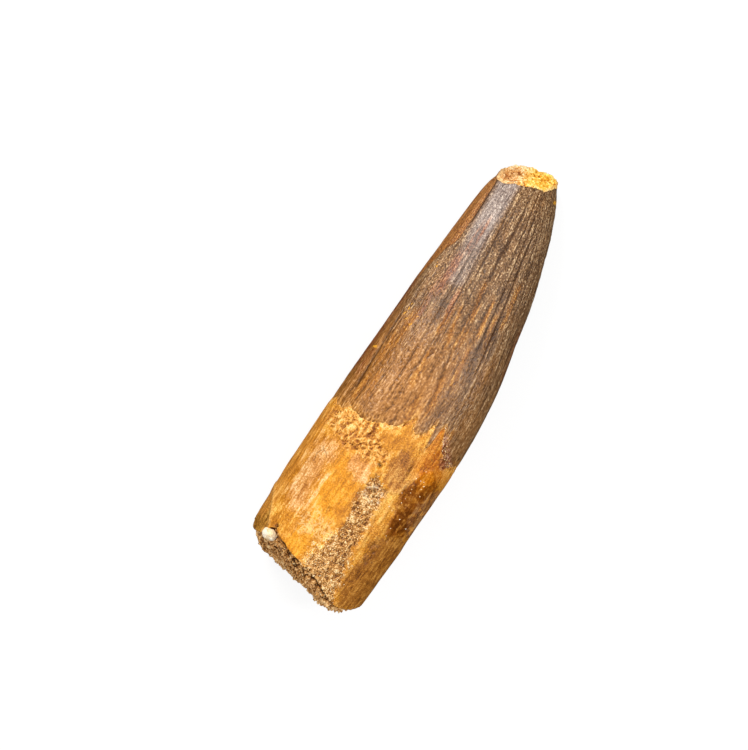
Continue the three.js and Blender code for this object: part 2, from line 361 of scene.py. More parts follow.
RUSSET_STREAKS = [([(54.6, 2.75), (50.3, 2.7)], 0.7), ([(49.4, 3.5), (45.5, 3.4)], 0.25),
                  ([(50, 7.4), (44, 7.7), (39, 7.9), (34, 8.2)], 0.75), ([(35.5, 7.0), (32.5, 7.2)], 0.3),
                  ([(50.5, -12.2), (47, -12.9), (42.5, -13.8)], 0.3),
                  ([(62, 1.9), (58, 2.2)], 0.35), ([(49.5, -0.2), (47.6, -0.5)], 0.4)]
# The dark belt of splintered enamel beside the flame, and its half width.
SPLINTERS = [(29.6, -10.5), (28.2, -11.6), (26.9, -12.7), (26.1, -13.6)]
SPLINTER_HALF_WIDTH = 0.7
# Yellow flecks on the crown: along, across and radius. They stand up by this much.
FLECK_HEIGHT = 0.04
FLECKS = [(52.6, 5.07, 0.3), (45.3, 5.3, 0.22), (44.6, 5.35, 0.25), (43.9, 5.4, 0.2), (42.9, 4.94, 0.25),
          (43.5, 5.55, 0.2), (42.6, 3.73, 0.25), (44.2, 3.47, 0.2), (36.5, 6.85, 0.4), (71.2, -5.95, 0.4),
          (53.2, 5.3, 0.15), (41.5, 4.2, 0.2)]
# The narrow groove beside the hollow side, and its half width and depth.
GROOVE = [(44, 6.0), (38, 6.1), (33, 6.15), (29.5, 6.1)]
GROOVE_HALF_WIDTH = 0.16
GROOVE_DEPTH = 0.12
# Chips in the enamel: along, across, radius and depth.
ENAMEL_CHIPS = [(62.2, 4.9, 0.35, 0.16), (48.2, -13.4, 0.6, 0.2)]
# The smooth facet outside the keel near the tip, its crest, and the dark line beside that crest, a painted
# shadow.
FACET = [(71.5, 3.8), (69, 4.0), (64, 4.05), (58.6, 4.25), (57.2, 4.6), (56, 5.3), (53.5, 5.9), (49, 6.9),
         (47, 7.5), (51, 8.3), (58, 9.0), (65, 8.6), (72, 6.8)]
FACET_CREST = [(70.2, 4.0), (64, 4.05), (58.6, 4.25), (57.2, 4.6), (56, 5.3), (53.5, 5.9), (49, 6.9)]
FACET_DEPTH = 0.16
FACET_CREST_HALF_WIDTH = 0.16
FACET_CREST_HEIGHT = 0.07
FACET_SHADOW = [(70.2, 3.9), (66, 3.92), (61.5, 3.98)]
FACET_SHADOW_HALF_WIDTH = 0.13
# The flat that is worn beside the facet: its middle line, its half width and how deep the wear cut.
WORN_FLAT = [(71.2, 1.9), (62.6, 1.9)]
WORN_HALF_WIDTH = 1.9
WORN_DEPTH = 0.22
# The polished strip that runs on down the crown from the worn flat. The material lays a grey painted sheen
# on it.
POLISH = [(71.2, 2.0), (62, 2.0), (53, 1.4)]
POLISH_HALF_WIDTH = 1.9
# Marks on the broken tip: hollows, and lumps, each with a radius and a depth or height.
TIP_PITS = [(72.2, 0.0, 0.22, 0.3), (73.5, -0.8, 0.25, 0.3), (73.6, -2.9, 0.22, 0.25),
            (72.0, 1.4, 0.2, 0.2), (71.2, 3.0, 0.2, 0.15), (73.0, -2.2, 0.12, 0.2),
            (72.4, -2.3, 0.12, 0.2)]
TIP_LUMPS = [(73.6, -2.7, 1.0, 0.18), (72.0, 2.9, 0.6, 0.15), (71.2, -1.2, 0.7, 0.12),
             (73.2, 1.0, 1.6, 0.3), (73.5, -0.7, 0.6, 0.15), (72.4, 3.0, 0.8, 0.2)]
# The depth inside a mark where there is none.
FAR_OUT = -9.0


def seen(points):
    """Along and across of points as the camera sees them: nearer points move out from the middle."""
    grow = CAMERA_DISTANCE / (CAMERA_DISTANCE - (points[..., 2] - VIEW_HEIGHT))
    along = VIEW_CENTRE[0] + (points[..., 0] - VIEW_CENTRE[0]) * grow
    across = VIEW_CENTRE[1] + (points[..., 1] - VIEW_CENTRE[1]) * grow
    return along, across


def unrolled(u, x):
    """Along and across of the side's point at (u, x). Under the outline, across goes on by the
    straight distance from the outline's point."""
    point = side_point(u, x)
    along, across = seen(point)
    widest = side_point(np.where(np.cos(u) > 0, 0.0, np.pi), x)
    _, outline = seen(widest)
    beyond = np.linalg.norm(point - widest, axis=-1) * np.where(np.cos(u) > 0, 1, -1)
    return along, np.where(np.sin(u) < 0, outline + beyond, across)


def line_distance(line, along, across):
    """Distance in millimetres to a line of points: the least over its straight pieces."""
    least = np.full(along.shape, np.inf)
    for (x0, y0), (x1, y1) in zip(line[:-1], line[1:]):
        dx, dy = x1 - x0, y1 - y0
        t = np.clip(((along - x0) * dx + (across - y0) * dy) / (dx * dx + dy * dy), 0, 1)
        least = np.minimum(least, np.hypot(along - x0 - t * dx, across - y0 - t * dy))
    return least


def nearest_line(lines, along, across):
    """Distance in millimetres to the nearest of several lines."""
    return np.min([line_distance(line, along, across) for line in lines], 0)


def depth_inside(outline, along, across):
    """Distance to a closed outline, positive inside: the sign is from counting crossed edges."""
    inside = np.zeros(along.shape, bool)
    closed = outline + outline[:1]
    for (x0, y0), (x1, y1) in zip(closed[:-1], closed[1:]):
        crosses = (y0 > across) != (y1 > across)
        at = x0 + (across - y0) * (x1 - x0) / (y1 - y0 if y1 != y0 else 1.0)
        inside ^= crosses & (along < at)
    return np.where(inside, 1, -1) * line_distance(closed, along, across)


def bell(distance, width):
    """1 at no distance, and exp(-(distance / width)^2) away from there."""
    return np.exp(-((distance / width) ** 2))


def round_marks(marks, along, across):
    """The sum of bell-shaped marks (along, across, radius, height)."""
    total = np.zeros(along.shape)
    for x, y, radius, height in marks:
        total += height * bell(np.hypot(along - x, across - y), radius)
    return total


# The radius of the straight cylinder that patterns are laid on.
GRAIN_RADIUS = 9.0


def grain_of(u, x):
    """The place on a straight cylinder that stands for (u, x), so that patterns run together
    towards the tip and have no seam."""
    return np.stack([GRAIN_RADIUS * np.cos(u), GRAIN_RADIUS * np.sin(u), x], -1)


def drawn_out(grain, share):
    """Those places with their length times a share, so that noise on them runs along the tooth."""
    return grain * np.array([1, 1, share])


EDGE_AT = np.array(sorted(ENAMEL_EDGE)).T


def enamel_edge_x(u):
    """The x of the enamel's lower edge at angle u: the seen edge, settled on the side's surface,
    with a small wave."""
    x = np.full_like(u, float(ENAMEL_EDGE_X))
    for _ in range(RIM_ROUNDS):
        along, across = unrolled(u, x)
        x = x + np.interp(across, EDGE_AT[0], EDGE_AT[1]) - along
    wave = soft_noise(grain_of(u, np.zeros_like(u)), EDGE_WAVE_SIZE, 3, 3)
    return x + EDGE_WAVE * wave


def broken_rim_x(u, break_at, first_x, seen_rim, set_back, seed):
    """The x of a break's rim at angle u: the seen rim on the upper side and, below and past its end
    at the bulging side, the break's own slant. The slant is moved into the tooth, so that what fills
    the break stands proud of its rim. The rim has small chips."""
    x = rim_x(u, break_at, first_x)
    across_at, along_at = np.array(seen_rim).T
    settled = x.copy()
    for _ in range(RIM_ROUNDS):
        along, across = unrolled(u, settled)
        settled = settled + np.interp(across, across_at, along_at) - along
    ends = smooth(across_at[0] - RIM_END_BLEND, across_at[0], across)
    shown = smooth(0.0, RIM_TURN_BLEND, np.sin(u)) * ends
    chips = RIM_CHIPS * soft_noise(grain_of(u, np.zeros_like(u)), RIM_CHIP_SIZE, seed, 3)
    back = set_back[0] + (set_back[1] - set_back[0]) * smooth(*SET_BACK_TURN, across)
    return x + shown * (settled - x) + (1 - shown) * back + chips


# Surfaces

# Mesh density: points round a ring, more of them towards the top, and rows along.
TOP_CROWDING = 0.4
CROWN_AROUND = 576
CROWN_ROWS = 150
CROWN_LIP_ROWS = 3
ROOT_AROUND = 480
ROOT_ROWS = 184
ROOT_UNDER_ROWS = 6
TIP_AROUND = 192
TIP_ROWS = 70
MATRIX_ROWS = 80
# How rows crowd along a piece: an even share to this power.
CROWN_CROWDING = 1.12
TIP_CROWDING = 0.9
MATRIX_CROWDING = 0.8
# Rings that close each piece inside the tooth: how far out from the rim's middle, as a share, and how
# far they are moved along x.
CROWN_CLOSING = [(0.94, -0.2), (0.85, -0.9), (0.4, -1.4)]
TIP_PLUG = [(0.6, -1.3), (0.93, -1.0), (0.97, -0.3)]
ROOT_PLUG = [(0.4, 1.6), (0.8, 1.4), (0.95, 0.9), (0.985, 0.05)]
MATRIX_PLUG = [(0.5, 1.2), (0.9, 1.0), (0.97, 0.5)]

# The enamel's thickness. The root runs up under its edge by the overlap, in full width, and then by
# the underlap, inset and drawn in to this much.
ENAMEL_THICKNESS = 0.22
OVERLAP = 0.15
UNDERLAP = 1.6
ROOT_INSET = 0.34
UNDERLAP_DRAWN_IN = 2.4
# Where the sine of the angle round the section says that the side turns away from above: its flanks,
# and its hidden half.
FLANK_SINES = (0.75, 0.2)
HIDDEN_SINES = (0.25, -0.2)
# Streaks on the crown are measured with their length shortened this much, so they end in points.
TAPER = 0.35
# How sharply a rim's own unevenness fades towards the middle of its break.
RIM_FADE = 6

# The crown's ribs: how many go round it, how far they wander, how deep their furrows are and how
# wide. The wandering and the width are shares of the step from rib to rib.
RIBS = 48
RIB_WANDERING = 0.9
RIB_DEPTH = 0.085
FURROW_WIDTH = 0.14
# The finer striae between them: how near its middle a noise makes one, and their depth as a share of
# a rib's.
STRIA_WIDTH = 0.16
STRIA_DEPTH = 0.2
# The enamel's wrinkles, and how much higher they are where it is pebbly.
WRINKLE_HEIGHT = 0.012
PEBBLY_HEIGHT = 0.03
# Broad swells of both sides, and the splinters of the dark belt.
CROWN_SWELL = 0.1
ROOT_SWELL = 0.07
SPLINTER_HEIGHT = 0.1
# How far the enamel is worn down at its lower edge, as a share of its thickness, and over what length.
EDGE_WEAR = 0.5
EDGE_WEAR_LENGTH = 0.25

# The root's relief: fibres, the crust's veins, pores and sinking, the sand's winding crests and their
# bed, the amber's rise, swell and smoothness, the flaked olive corner, and the step down to the
# enamel, as a share of its thickness, with its length.
FIBRE_HEIGHT = 0.025
CRUST_VEINS = 0.17
CRUST_PORES = 0.22
CRUST_SUNK = 0.06
SAND_CRESTS = 0.18
SAND_BED_DEPTH = 0.2
AMBER_RISE = 0.12
AMBER_SWELL = 0.06
AMBER_SMOOTHNESS = 0.6
OLIVE_DEPTH = 0.14
ROOT_STEP = 0.3
ROOT_STEP_LENGTH = 1.2

# The broken tip's relief: crumbs, swells, veins and holes. Its face is sunk in the rim by this much,
# and rises again by this much where it is lower than two heights.
TIP_CRUMBS = 0.26
TIP_SWELL = 0.2
TIP_VEINS = 0.14
TIP_HOLES = 0.25
TIP_SUNK = 0.3
TIP_LOW_RISE = 0.4
TIP_LOW_HEIGHTS = (8.5, 6.5)

# The matrix's relief: lumps and grit with their sizes, swells, dust and gaps. Its face bulges towards
# the middle, and is sunk as a whole and beside the upper rim.
MATRIX_LUMPS = 0.85
MATRIX_LUMP_SIZE = 1.05
MATRIX_GRIT = 0.35
MATRIX_GRIT_SIZE = 0.5
MATRIX_SWELL = 0.4
MATRIX_DUST = 0.12
MATRIX_GAPS = 0.15
MATRIX_BULGE = 0.4
MATRIX_SUNK = 0.5
MATRIX_RIM_SUNK = 0.35


def angles(count):
    """Angles round the section, from the underside, crowded towards the top: an even share plus a
    sine of it."""
    share = np.arange(count) / count
    return -np.pi / 2 + 2 * np.pi * share + TOP_CROWDING * np.sin(2 * np.pi * share)


def outward(rings):
    """Unit normals of a grid of rings: the step round crossed with the step along."""
    around = np.roll(rings, -1, 1) - np.roll(rings, 1, 1)
    along = np.gradient(rings, axis=0)
    normal = np.cross(around, along)
    length = np.linalg.norm(normal, axis=-1, keepdims=True)
    return normal / np.maximum(length, 1e-9)


def face_rings(rim, shares, break_at):
    """Rings across a broken end: y and z run from the rim's middle (share 0) to the rim (1), x is
    the break's, and what the rim itself is off the break fades inwards as a power of the share."""
    middle = rim.mean(0)
    y, z = [middle[k] + shares[:, None] * (rim[:, k] - middle[k]) for k in (1, 2)]
    off_plane = rim[:, 0] - break_at(rim[:, 1], rim[:, 2])
    return np.stack([break_at(y, z) + off_plane * shares[:, None] ** RIM_FADE, y, z], -1)


def inner_rings(rim, steps):
    """Rings inside a rim, one for each (share, shift): the share of the way out from the rim's
    middle, moved along x by the shift."""
    middle = rim.mean(0)
    return np.array([middle + share * (rim - middle) + (shift, 0, 0) for share, shift in steps])


def furrows(u, grain, along, across):
    """The crown's ribs: 1 in the furrows between them and 0 on their backs. A furrow lies where a
    count of ribs round the tooth, which wanders slowly along it, passes a whole number, and finer
    striae lie between. The furrows are deepest on the bulging half of the crown's middle."""
    slow = drawn_out(grain, 0.1)
    count = RIBS * u / (2 * np.pi) + RIB_WANDERING * soft_noise(slow, 2.4, 11, 2)
    strength = smooth(-0.5, 0.6, soft_noise(slow, 1.4, 13, 2))
    right = smooth(3.0, -1.0, across) * smooth(-13.5, -10, across)
    middle = smooth(31, 42, along) * smooth(72, 66, along)
    deep = (0.25 + 0.75 * right * middle) * (0.3 + 0.7 * strength)
    finer = bell(soft_noise(drawn_out(grain, 0.06), 0.8, 12), STRIA_WIDTH)
    return deep * bell(count - np.round(count), FURROW_WIDTH) + STRIA_DEPTH * finer


def crown_surface():
    """The crown's rings: under its lower lip, up to the tip's rim, and closed inside the tip.

    The lip turns in by the enamel's thickness and closes inside the root. On the side, each
    furrow, facet and chip is a height along the normal.
    """
    u = angles(CROWN_AROUND)
    edge = enamel_edge_x(u)
    tip = broken_rim_x(u, tip_break, TIP_BREAK["x"], TIP_RIM, TIP_SET_BACK, 24)
    share = np.linspace(0, 1, CROWN_ROWS)[:, None] ** CROWN_CROWDING
    x = edge + share * (tip - edge)
    uu = np.broadcast_to(u, x.shape)
    sides = side_point(uu, x)
    along, across = unrolled(uu, x)
    grain = grain_of(uu, x)

    furrow = furrows(uu, grain, along, across)
    height = -RIB_DEPTH * furrow - SKIN_INSET
    height += CROWN_SWELL * soft_noise(sides, 9.0, 21, 2) * smooth(72, 60, along)
    rough = smooth(36, 60, along)
    pebbly = smooth(2.0, -2.5, across) * smooth(46, 60, along)
    wrinkles = soft_noise(drawn_out(grain, 0.6), 0.5, 22, 2)
    height += (WRINKLE_HEIGHT + PEBBLY_HEIGHT * pebbly) * wrinkles
    wisps = soft_noise(drawn_out(grain, 0.12), 0.8, 28, 2)
    flank = smooth(*FLANK_SINES, np.sin(uu))
    hidden = smooth(*HIDDEN_SINES, np.sin(uu))
    facet = depth_inside(FACET, along, across) + 0.9 * hidden * wisps
    facet = smooth(-0.06 - 0.5 * hidden, 0.1 + 0.5 * hidden, facet)
    cut = smooth(48, 56, along)
    height -= FACET_DEPTH * facet * cut
    crest = bell(line_distance(FACET_CREST, along, across), FACET_CREST_HALF_WIDTH)
    height += FACET_CREST_HEIGHT * cut * crest
    worn = np.minimum(line_distance(WORN_FLAT, along, across) / WORN_HALF_WIDTH, 1)
    height -= WORN_DEPTH * (1 - worn**2)
    # The polished strip: smoother enamel in the material, with a grey painted sheen laid over it.
    polish_and_sheen = smooth(1.2, 0.5, line_distance(POLISH, along, across) / POLISH_HALF_WIDTH)
    polish_and_sheen = polish_and_sheen * (0.55 + 0.45 * smooth(56, 63, along))
    groove = bell(line_distance(GROOVE, along, across), GROOVE_HALF_WIDTH)
    height -= GROOVE_DEPTH * groove
    splinters = bell(line_distance(SPLINTERS, along, across), SPLINTER_HALF_WIDTH)
    height += splinters * (SPLINTER_HEIGHT * veins(sides, 0.5, 27) - SPLINTER_HEIGHT / 2)
    height -= round_marks(ENAMEL_CHIPS, along, across)
    height -= EDGE_WEAR * ENAMEL_THICKNESS * np.exp((edge - x) / EDGE_WEAR_LENGTH)
    flecks = round_marks([(a, b, r, 1.0) for a, b, r in FLECKS], along, across)
    height += FLECK_HEIGHT * np.minimum(flecks, 1)
    height *= smooth(0, 0.02, 1 - share)
    normal = outward(sides)
    sides = sides + normal * height[..., None]

    inset = np.linspace(1, 0.15, CROWN_LIP_ROWS)[:, None, None]
    lip = sides[0] - normal[0] * ENAMEL_THICKNESS * (1 + 3 * inset)
    lip[..., 0] += np.linspace(1.2, 0.0, CROWN_LIP_ROWS)[:, None]
    closing = inner_rings(sides[-1], CROWN_CLOSING)
    rings = np.concatenate([lip, sides, closing])

    def padded(field, under=0.0):
        """The field with one value over the lip, and its last row repeated inside the tip."""
        head = np.full((len(lip), CROWN_AROUND), under)
        return np.concatenate([head, field, np.repeat(field[-1:], len(closing), 0)])

    def inside_lines(streaks):
        """Depth inside a set of streaks, which end in points and fray on the tooth's flanks."""
        depths = [half - line_distance([(TAPER * a, b) for a, b in line], TAPER * along, across)
                  for line, half in streaks]
        return np.max(depths, 0) - 0.25 * flank + (0.08 + 0.5 * flank) * wisps

    shadow = bell(line_distance(FACET_SHADOW, along, across), FACET_SHADOW_HALF_WIDTH)
    right = smooth(-3.0, -9.5, across) * smooth(-19, -14, across)
    warmth = smooth(51, 34, along) * (1 - 0.7 * right)
    attributes = {
        "warmth": padded(warmth),
        "ochre": padded(inside_lines(OCHRE_STREAKS), FAR_OUT),
        "russet": padded(inside_lines(RUSSET_STREAKS), FAR_OUT),
        "belt": padded(SPLINTER_HALF_WIDTH - line_distance(SPLINTERS, along, across), FAR_OUT),
        "fleck": padded(flecks),
        "polish_and_sheen": padded(polish_and_sheen),
        "facet": padded(facet * smooth(13.5, 9.5, across)),
        # The groove field also carries the facet's shadow line. The material paints it and the furrows dark,
        # a painted shade.
        "groove": padded(np.maximum(groove, shadow)),
        "furrow": padded(furrow),
        "rough": padded(rough),
        "edge_stain": padded(1.2 - (x - edge)),
    }
    grains = np.concatenate([np.repeat(grain[:1], len(lip), 0), grain,
                             np.repeat(grain[-1:], len(closing), 0)])
    return rings, attributes, grains, sides, splinters


def tip_surface(rim):
    """The crumbling dentine in the broken tip: a plug inside the enamel, then rings from the rim to
    the middle. Lumps, hollows and a hump are heights along x."""
    rim = rim[::CROWN_AROUND // TIP_AROUND]
    shares = np.linspace(1, 0, TIP_ROWS + 1)[:-1] ** TIP_CROWDING
    face = face_rings(rim, shares, tip_break)
    along, across = seen(face)
    places = warped(face, 1.1, 0.6, 31)
    near, _ = cell_noise(places, 0.75, 34)
    lumps = TIP_CRUMBS * (0.6 - near) + TIP_SWELL * soft_noise(face, 1.7, 37, 2)
    lumps += TIP_VEINS * veins(places, 0.55, 39)
    holes = smooth(0.45, 0.8, soft_noise(places, 0.75, 41, 2))
    marks = round_marks(TIP_LUMPS, along, across) - round_marks(TIP_PITS, along, across)
    height = lumps - TIP_HOLES * holes + marks
    low = smooth(*TIP_LOW_HEIGHTS, face[..., 2])
    face[..., 0] += height * smooth(1.0, 0.9, shares)[:, None] - TIP_SUNK + TIP_LOW_RISE * low
    ragged = 1 + 0.02 * soft_noise(face[0], 0.7, 43, 2)
    middle = rim.mean(0)
    face[0] = middle + (face[0] - middle) * ragged[:, None]
    plug = inner_rings(rim, TIP_PLUG)
    rings = np.concatenate([plug, face])
    pits = round_marks([(a, b, 1.2 * r, 1.0) for a, b, r, _ in TIP_PITS], along, across)
    pits = np.maximum(pits, 0.8 * holes)
    outer = smooth(0.86, 0.97, shares)[:, None]
    on_plug = np.zeros((len(plug), TIP_AROUND))
    _, across = seen(rings)
    # The relief and the pits are stored for colour only, as a painted shade in the material.
    attributes = {
        "relief": np.concatenate([on_plug, 2.2 * height]),
        "pit_shade": np.concatenate([on_plug, np.minimum(pits, 1)]),
        "side": smooth(1.8, -1.4, across),
        "edge": np.concatenate([on_plug, np.broadcast_to(outer, pits.shape)]),
    }
    return rings, attributes


def root_surface():
    """The root's rings: a plug in its broken end, the side, and a plug under the enamel.

    On the side the crust, the plates, the sand band and the pits are heights along the normal.
    """
    u = angles(ROOT_AROUND)
    edge = enamel_edge_x(u)
    rim = broken_rim_x(u, root_break, ROOT_BREAK["x"], ROOT_RIM, ROOT_SET_BACK, 41)
    share = np.linspace(0, 1, ROOT_ROWS)[:, None]
    x = rim + share * (edge + OVERLAP - rim)
    uu = np.broadcast_to(u, x.shape)
    sides = side_point(uu, x)
    along, across = unrolled(uu, x)
    grain = grain_of(uu, x)
    below = edge - x

    flank = smooth(*FLANK_SINES, np.sin(uu))
    hidden = smooth(*HIDDEN_SINES, np.sin(uu))
    ragged = (0.35 + 0.6 * flank) * soft_noise(sides, 1.1, 42, 3)
    crumbs = depth_inside(GOLDEN_CRUMBS, along, across) + 2.2 * ragged
    sand = depth_inside(SAND_BAND, along, across) + 1.3 * ragged
    back_along = (along - BACK_SAND["middle"][0]) / BACK_SAND["longer"]
    back_sand = BACK_SAND["radius"] - np.hypot(back_along, across - BACK_SAND["middle"][1])
    sand = np.maximum(sand, back_sand + 3 * ragged)
    hidden_ring = smooth(*HIDDEN_CRUST_BULGING, across) + smooth(*HIDDEN_CRUST_HOLLOW, across)
    ring = hidden_ring * (HIDDEN_CRUST_WIDTH - below + 1.8 * ragged) + (1 - hidden_ring) * FAR_OUT
    crust = np.maximum(depth_inside(CRUST, along, across) + ragged, ring)
    crust = np.maximum(crust, CRUST_WIDTH - below + ragged)
    amber = depth_inside(AMBER, along, across) + 0.4 * ragged
    sand = np.minimum(sand, -amber)

    fibres = soft_noise(drawn_out(grain, 0.1), 0.7, 43, 2)
    # The relief is stored for colour only: the material lightens crests and darkens pores and hollows by it,
    # a painted shade.
    relief = 0.25 * fibres
    height = FIBRE_HEIGHT * fibres + ROOT_SWELL * soft_noise(sides, 3.5, 44, 2) - SKIN_INSET
    pits = round_marks(PITS, along, across)
    creases = bell(nearest_line(CREASES, along, across), CREASE_HALF_WIDTH)

    crust_share = smooth(-0.25, 0.5, crust)
    places = warped(sides, 1.0, 0.35, 45)
    branches = 0.5 * veins(places, 0.75, 48) + 0.5 * veins(places, 0.4, 49)
    pore_row = bell(line_distance(PORE_ROW, along, across), PORE_ROW_HALF_WIDTH)
    pores = smooth(0.5, 0.95, soft_noise(places, 0.36, 47, 2) + 0.35 * pore_row)
    crust_share = crust_share * (0.35 + 0.65 * smooth(0.0, 0.7, below))
    height += crust_share * (CRUST_VEINS * branches - CRUST_PORES * pores - CRUST_SUNK)
    relief += crust_share * (1.4 * branches - 1.3 * pores)

    sand_share = smooth(-0.5, 0.35, np.maximum(sand, crumbs - 0.3))
    places = warped(sides, 0.8, 0.3, 50)
    winding = 0.6 * veins(places, 0.75, 53) + 0.4 * veins(places, 0.42, 54)
    bed = smooth(-0.3, 0.4, sand)
    height += sand_share * SAND_CRESTS * winding - SAND_BED_DEPTH * bed
    relief += sand_share * 0.8 * winding
    nest_along, nest_across = [(place - middle) / radius for place, middle, radius
                               in zip((along, across), NEST["middle"], NEST["radii"])]
    ring_noise = 0.25 * soft_noise(sides, 0.6, 55, 2)
    nest = bell(np.hypot(nest_along, nest_across) - 1 + ring_noise, NEST["line"]) * bed
    height += nest * (NEST["height"] + NEST["curls"] * winding)

    amber_share = smooth(-0.1, 0.35, amber)
    height = height * (1 - AMBER_SMOOTHNESS * amber_share) + AMBER_RISE * amber_share
    height += AMBER_SWELL * amber_share * soft_noise(sides, 0.9, 51, 2)
    ridge_share = bell(nearest_line(RIDGES, along, across), RIDGE_HALF_WIDTH)
    height += RIDGE_HEIGHT * ridge_share
    olive = depth_inside(OLIVE, along, across) + 1.5 * hidden * soft_noise(sides, 2.2, 56, 3)
    height -= OLIVE_DEPTH * smooth(-0.1, 0.3, olive)
    height -= pits + CREASE_DEPTH * creases
    height += round_marks(LUMPS, along, across)
    height -= ENAMEL_THICKNESS * ROOT_STEP * smooth(ROOT_STEP_LENGTH, 0.0, below)
    sides = sides + outward(sides) * height[..., None]

    under_share = np.linspace(0, 1, ROOT_UNDER_ROWS + 1)[1:, None]
    under_x = edge + OVERLAP + under_share * UNDERLAP
    under_u = np.broadcast_to(u, under_x.shape)
    under = side_point(under_u, under_x)
    under = under - outward(under) * (ROOT_INSET + UNDERLAP_DRAWN_IN * (under_share**2)[..., None])
    plug = inner_rings(sides[0], ROOT_PLUG)
    rings = np.concatenate([plug, sides, under])

    def padded(field):
        """The field with its first row repeated over the plug, and nothing under the enamel."""
        tail = np.zeros((len(under), ROOT_AROUND))
        return np.concatenate([np.repeat(field[:1], len(plug), 0), field, tail])

    def region(outline, wobble=1.0):
        """Depth inside an outline whose edge is ragged: wobble times the root's own raggedness."""
        return depth_inside(outline, along, across) + wobble * ragged

    golden = np.maximum(region(GOLDEN), region(LOW_GOLDEN))
    strip = np.maximum(region(LEFT_STRIP, 0.3), smooth(13, 15, across) * 0.5 - 0.3)
    chips = np.max([region(chip, 0.5) for chip in CHIPS], 0)
    # Pits and creases are painted dark as well as sunk: a painted shade in them.
    pit_and_crease_shade = np.maximum(pits * 1.6, 0.6 * creases)
    fields = {
        "sand": sand,
        "crumbs": crumbs,
        "nest": nest,
        "crust": crust,
        "amber": amber,
        "dark_amber": region(DARK_AMBER, 1.5),
        "low_amber": region(LOW_AMBER, 1.5),
        "mauve": region(MAUVE, 0.5),
        "orange": region(ORANGE, 0.5),
        "red_flake": region(RED_FLAKE, 0.5),
        "chips": chips,
        "pale": region(PALE),
        "tan": region(TAN),
        "golden": golden,
        "net": region(NET),
        "strip": strip,
        "olive": olive,
        "brown": region(BROWN),
        "speckled": region(SPECKLED),
        "ridge": ridge_share,
        "relief": relief,
        "pit_shade": np.clip(pit_and_crease_shade, 0, 1),
    }
    attributes = {name: padded(field) for name, field in fields.items()}
    grains = np.concatenate([np.repeat(grain[:1], len(plug), 0), grain, grain_of(under_u, under_x)])
    marks = {"sand": sand, "crumbs": crumbs, "along": along, "across": across}
    return rings, attributes, grains, sides, marks


def matrix_surface(rim):
    """The cemented sand in the root's broken end: a plug inside the root, then rings from the rim to
    the middle. It is a heap of lumps of about a millimetre, sunk just inside the upper rim."""
    shares = np.linspace(1, 0, MATRIX_ROWS + 1)[:-1] ** MATRIX_CROWDING
    face = face_rings(rim, shares, root_break)
    places = warped(face, 1.8, 0.5, 61)
    near, second = cell_noise(places, MATRIX_LUMP_SIZE, 64)
    small, small_second = cell_noise(places, MATRIX_GRIT_SIZE, 67)
    lumps = MATRIX_LUMPS * (0.55 - near) + MATRIX_GRIT * (0.5 - small)
    lumps += MATRIX_SWELL * soft_noise(face, 2.2, 70, 2)
    lumps += MATRIX_DUST * soft_noise(face, 0.3, 72)
    gaps = smooth(0.22, 0.0, second - near) + 0.6 * smooth(0.18, 0.0, small_second - small)
    bulge = MATRIX_BULGE * (1 - shares[:, None] ** 2)
    upper = smooth(5, 13, face[..., 2])
    sunk = MATRIX_RIM_SUNK * upper * smooth(0.88, 0.97, shares)[:, None]
    height = lumps + bulge - sunk - MATRIX_GAPS * gaps - MATRIX_SUNK
    face[..., 0] -= height * smooth(1.0, 0.985, shares)[:, None]
    middle = rim.mean(0)
    face[0] = middle + (face[0] - middle) * 0.99
    plug = inner_rings(rim, MATRIX_PLUG)
    rings = np.concatenate([plug, face])
    # Stored for colour only: the lumps' crowns lighter, the gaps and the sunk strip under the upper rim
    # darker, a painted shade and shadow.
    relief = 1.2 * lumps - 0.6 * gaps - 0.5 * upper * smooth(0.88, 0.95, shares)[:, None]
    relief = np.concatenate([np.full((len(plug), ROOT_AROUND), -1.0), relief])
    return rings[:, ::-1], {"relief": relief[:, ::-1]}, face


PEBBLE_AROUND = 48
PEBBLE_ROWS = 30
PEBBLE_CENTRE = np.array([2.75, 5.25, 15.75])
PEBBLE_RADII = np.array([1.0, 1.2, 1.0])
# How far its flats and its fine wear go in and out, as shares of its radii.
PEBBLE_FLATS = 0.2
PEBBLE_WEAR = 0.03


def pebble_surface():
    """A rounded quartz pebble: a ball whose radii differ, with flats from broad noise."""
    around = np.linspace(0, 2 * np.pi, PEBBLE_AROUND, endpoint=False)
    up = np.linspace(0, np.pi, PEBBLE_ROWS + 2)[1:-1, None]
    ball = np.stack([-np.cos(up) * np.ones_like(around), np.sin(up) * np.cos(around),
                     np.sin(up) * np.sin(around)], -1)
    swell = 1 + PEBBLE_FLATS * soft_noise(ball, 0.9, 71, 2) + PEBBLE_WEAR * soft_noise(ball, 0.2, 72, 2)
    return PEBBLE_CENTRE + ball * swell[..., None] * PEBBLE_RADII


# Meshes

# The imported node's box, in millimetres.
BOX_LOW, BOX_HIGH = [np.array(corner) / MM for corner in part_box("tooth")]


def row_shift():
    """What moves the tooth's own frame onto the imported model's: the middle of the plain surface's
    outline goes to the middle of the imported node's box, and the floor to its lowest point."""
    u = angles(CROWN_AROUND)
    ends = [rim_x(u, root_break, ROOT_BREAK["x"]), rim_x(u, tip_break, TIP_BREAK["x"])]
    x = np.linspace(ends[0], ends[1], CROWN_ROWS)
    points = side_point(np.broadcast_to(u, x.shape), x).reshape(-1, 3)
    middle = (BOX_LOW + BOX_HIGH) / 2 - (points.min(0) + points.max(0)) / 2
    return np.array([middle[0], middle[1], BOX_LOW[2] - points[:, 2].min()])


SHIFT = row_shift()


